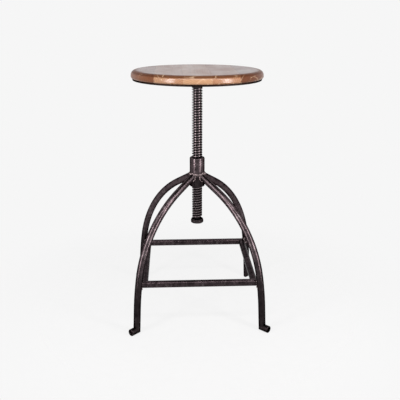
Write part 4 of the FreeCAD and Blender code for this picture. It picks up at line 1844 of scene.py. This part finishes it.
    def _hub_welds(self, hub: Mesh) -> None:
        """Beads around the hub above the legs and around the end of each leg.

        Args:
            hub: mesh of the hub.
        """
        slope, clear, spacing = math.radians(SIZE.crown_slope), 60.0, 1.8
        inward = Vector((-math.cos(slope), 0, math.sin(slope)))
        seam = self._seam(self._tree(hub), self._on_crown(clear), inward)
        ring = circle(SIZE.hub_radius, SIZE.crown_height - 3.0, 120)
        parts = [self.shapes.bead(ring, 3.4, 5, self.palette.weld, spacing)]
        for seed, corner in enumerate(Corner, start=20):
            bead = self.shapes.bead(seam, 2.6, seed, self.palette.weld, spacing)
            parts.append(turned(bead, corner.value, "bead"))
        self._add_beads("hub_welds", parts)

    def _ring_welds(self, leg: Mesh) -> None:
        """Beads where the ends of the stretchers meet each leg.

        Args:
            leg: mesh of a leg along X.
        """
        half, height, start = self._ring_half(), SIZE.ring_height, Corner.FRONT_RIGHT.value
        target = self._tree(turned(leg, start, "target"))
        seams = [
            self._seam(target, Vector(middle) * MM, Vector(direction))
            for middle, direction in (
                ((0, -half, height), (1, 0, 0)),
                ((half, 0, height), (0, -1, 0)),
            )
        ]
        parts = []
        for seed, corner in enumerate(Corner, start=40):
            for seam in seams:
                bead = self.shapes.bead(seam, 2.3, seed, self.palette.weld, closed=False)
                parts.append(turned(bead, corner.value - start, "bead"))
        self._add_beads("ring_welds", parts)


@dataclass(frozen=True)
class Light:
    """One soft box of the studio, in metres and watts."""

    name: str
    place: Triple
    size: Point
    power: float
    colour: Triple
    target: Triple = (0.0, 0.0, 0.5)

    def build(self) -> None:
        """Adds the light, aimed at the stool."""
        data = bpy.data.lights.new(self.name, "AREA")
        data.shape = "RECTANGLE"
        data.size, data.size_y = self.size
        data.energy = self.power
        data.color = self.colour
        lamp = put(self.name, data)
        lamp.location = self.place
        lamp.visible_camera = False
        aim = Vector(self.target) - Vector(self.place)
        lamp.rotation_euler = aim.to_track_quat("-Z", "Y").to_euler()


@dataclass(frozen=True)
class Camera:
    """Pinhole camera fitted to the photograph, in degrees and millimetres."""

    pitch: float = 17.876
    pan: float = 0.236
    roll: float = 0.126
    place: Triple = (1.69, -1549.78, 819.93)
    twist: float = -2.59
    sensor: float = 36.0
    focal_pixels: float = 575.5
    picture_pixels: float = 400.0

    def build(self) -> None:
        """Adds the camera. The twist turns it with its place about the spindle."""
        pitch, pan, roll = (math.radians(angle) for angle in (self.pitch, self.pan, self.roll))
        level = Vector((math.cos(pan), -math.sin(pan), 0))
        ahead = Vector((math.sin(pan), math.cos(pan), 0))
        forward = ahead * math.cos(pitch) - Vector((0, 0, math.sin(pitch)))
        upright = level.cross(forward)
        right = level * math.cos(roll) + upright * math.sin(roll)
        up = upright * math.cos(roll) - level * math.sin(roll)
        matrix = Matrix((right, up, -forward)).transposed().to_4x4()
        matrix.translation = Vector(self.place) * MM
        data = bpy.data.cameras.new("camera")
        data.sensor_width = self.sensor
        data.lens = self.focal_pixels * self.sensor / self.picture_pixels
        camera = put("camera", data)
        camera.matrix_world = Matrix.Rotation(math.radians(self.twist), 4, "Z") @ matrix
        bpy.context.scene.camera = camera


@dataclass
class Studio:
    """Floor, background, lights and camera, with the floor's lengths in metres."""

    background: float = 0.922
    ambient: float = 0.25
    floor_shade: float = 0.1
    floor_grain: float = 0.01
    floor_glow: float = 0.825
    floor_radius: float = 2.2
    floor_drop: float = 0.0002
    floor_fade: Point = (0.3, 0.8)

    def build(self) -> None:
        """Sets the stage."""
        bpy.context.scene.view_settings.view_transform = "Standard"
        self._world()
        self._floor()
        for light in (
            Light("key", (0.93, -0.88, 0.72), (0.26, 1.4), 16.0, (1.0, 0.97, 0.97)),
            Light("fill", (-0.93, -0.88, 0.72), (0.26, 1.4), 13.0, (1.0, 0.97, 0.97)),
            Light("front", (0.0, -0.85, 1.45), (1.3, 0.16), 7.0, (1.0, 0.98, 0.98)),
            Light("top", (0.0, 0.9, 2.3), (1.6, 1.2), 5.5, (0.97, 0.98, 1.0)),
        ):
            light.build()
        Camera().build()

    @staticmethod
    def _shown(g: Graph) -> Socket:
        """Whether a ray shows the background: seen by the camera, in a reflection or through glass.

        Args:
            g: graph of the world or material.

        Returns:
            Socket of 0 or 1.
        """
        path = g.node("ShaderNodeLightPath").outputs
        mirrored = g.most(path["Is Glossy Ray"], path["Is Transmission Ray"])
        return g.most(path["Is Camera Ray"], mirrored)

    def _world(self) -> None:
        """White where it is seen or mirrored and a softer grey as a light."""
        world = bpy.data.worlds.new("studio")
        bpy.context.scene.world = world
        g = fresh_graph(world)
        level = g.remap(self._shown(g), 0.0, 1.0, self.ambient, self.background)
        sky = g.node("ShaderNodeBackground", {"Color": (1.0, 1.0, 1.0, 1.0), "Strength": level})
        g.node("ShaderNodeOutputWorld", {"Surface": sky.outputs[0]})

    def _floor(self) -> None:
        """Pale floor that fades into the background away from the stool."""
        bm = bmesh.new()
        bmesh.ops.create_circle(bm, cap_ends=True, radius=self.floor_radius, segments=96)
        mesh = bpy.data.meshes.new("floor")
        bm.to_mesh(mesh)
        bm.free()
        floor = put("floor", mesh)
        floor.location.z = -self.floor_drop
        material = bpy.data.materials.new("floor")
        g = fresh_graph(material)
        place = g.node("ShaderNodeTexCoord").outputs["Object"]
        shades = (self.floor_shade - self.floor_grain, self.floor_shade + self.floor_grain)
        greys = [(shade, shade, shade, 1.0) for shade in shades]
        colour = g.mix(g.noise(place, 40.0, 2.0), *greys)
        matte = g.node("ShaderNodeBsdfDiffuse", {"Color": colour})
        glow = g.node("ShaderNodeEmission", {"Strength": g.times(self._shown(g), self.floor_glow)})
        lit = g.node("ShaderNodeAddShader", {0: matte.outputs[0], 1: glow.outputs[0]})
        clear = g.node("ShaderNodeBsdfTransparent")
        away = g.remap(g.vector("LENGTH", place), *self.floor_fade, smooth=True)
        mix = g.node("ShaderNodeMixShader", {0: away, 1: lit.outputs[0], 2: clear.outputs[0]})
        g.node("ShaderNodeOutputMaterial", {"Surface": mix.outputs[0]})
        mesh.materials.append(material)


def main() -> None:
    """Builds the stool and its studio."""
    logging.basicConfig(level=logging.INFO, format="%(name)s: %(message)s")
    palette = Palette(ShaderGroups())
    shapes = GeometryGroups()
    Seat(palette, shapes).build()
    Spindle(palette, shapes).build()
    Base(palette, shapes).build()
    Studio().build()


if __name__ == "__main__":
    main()
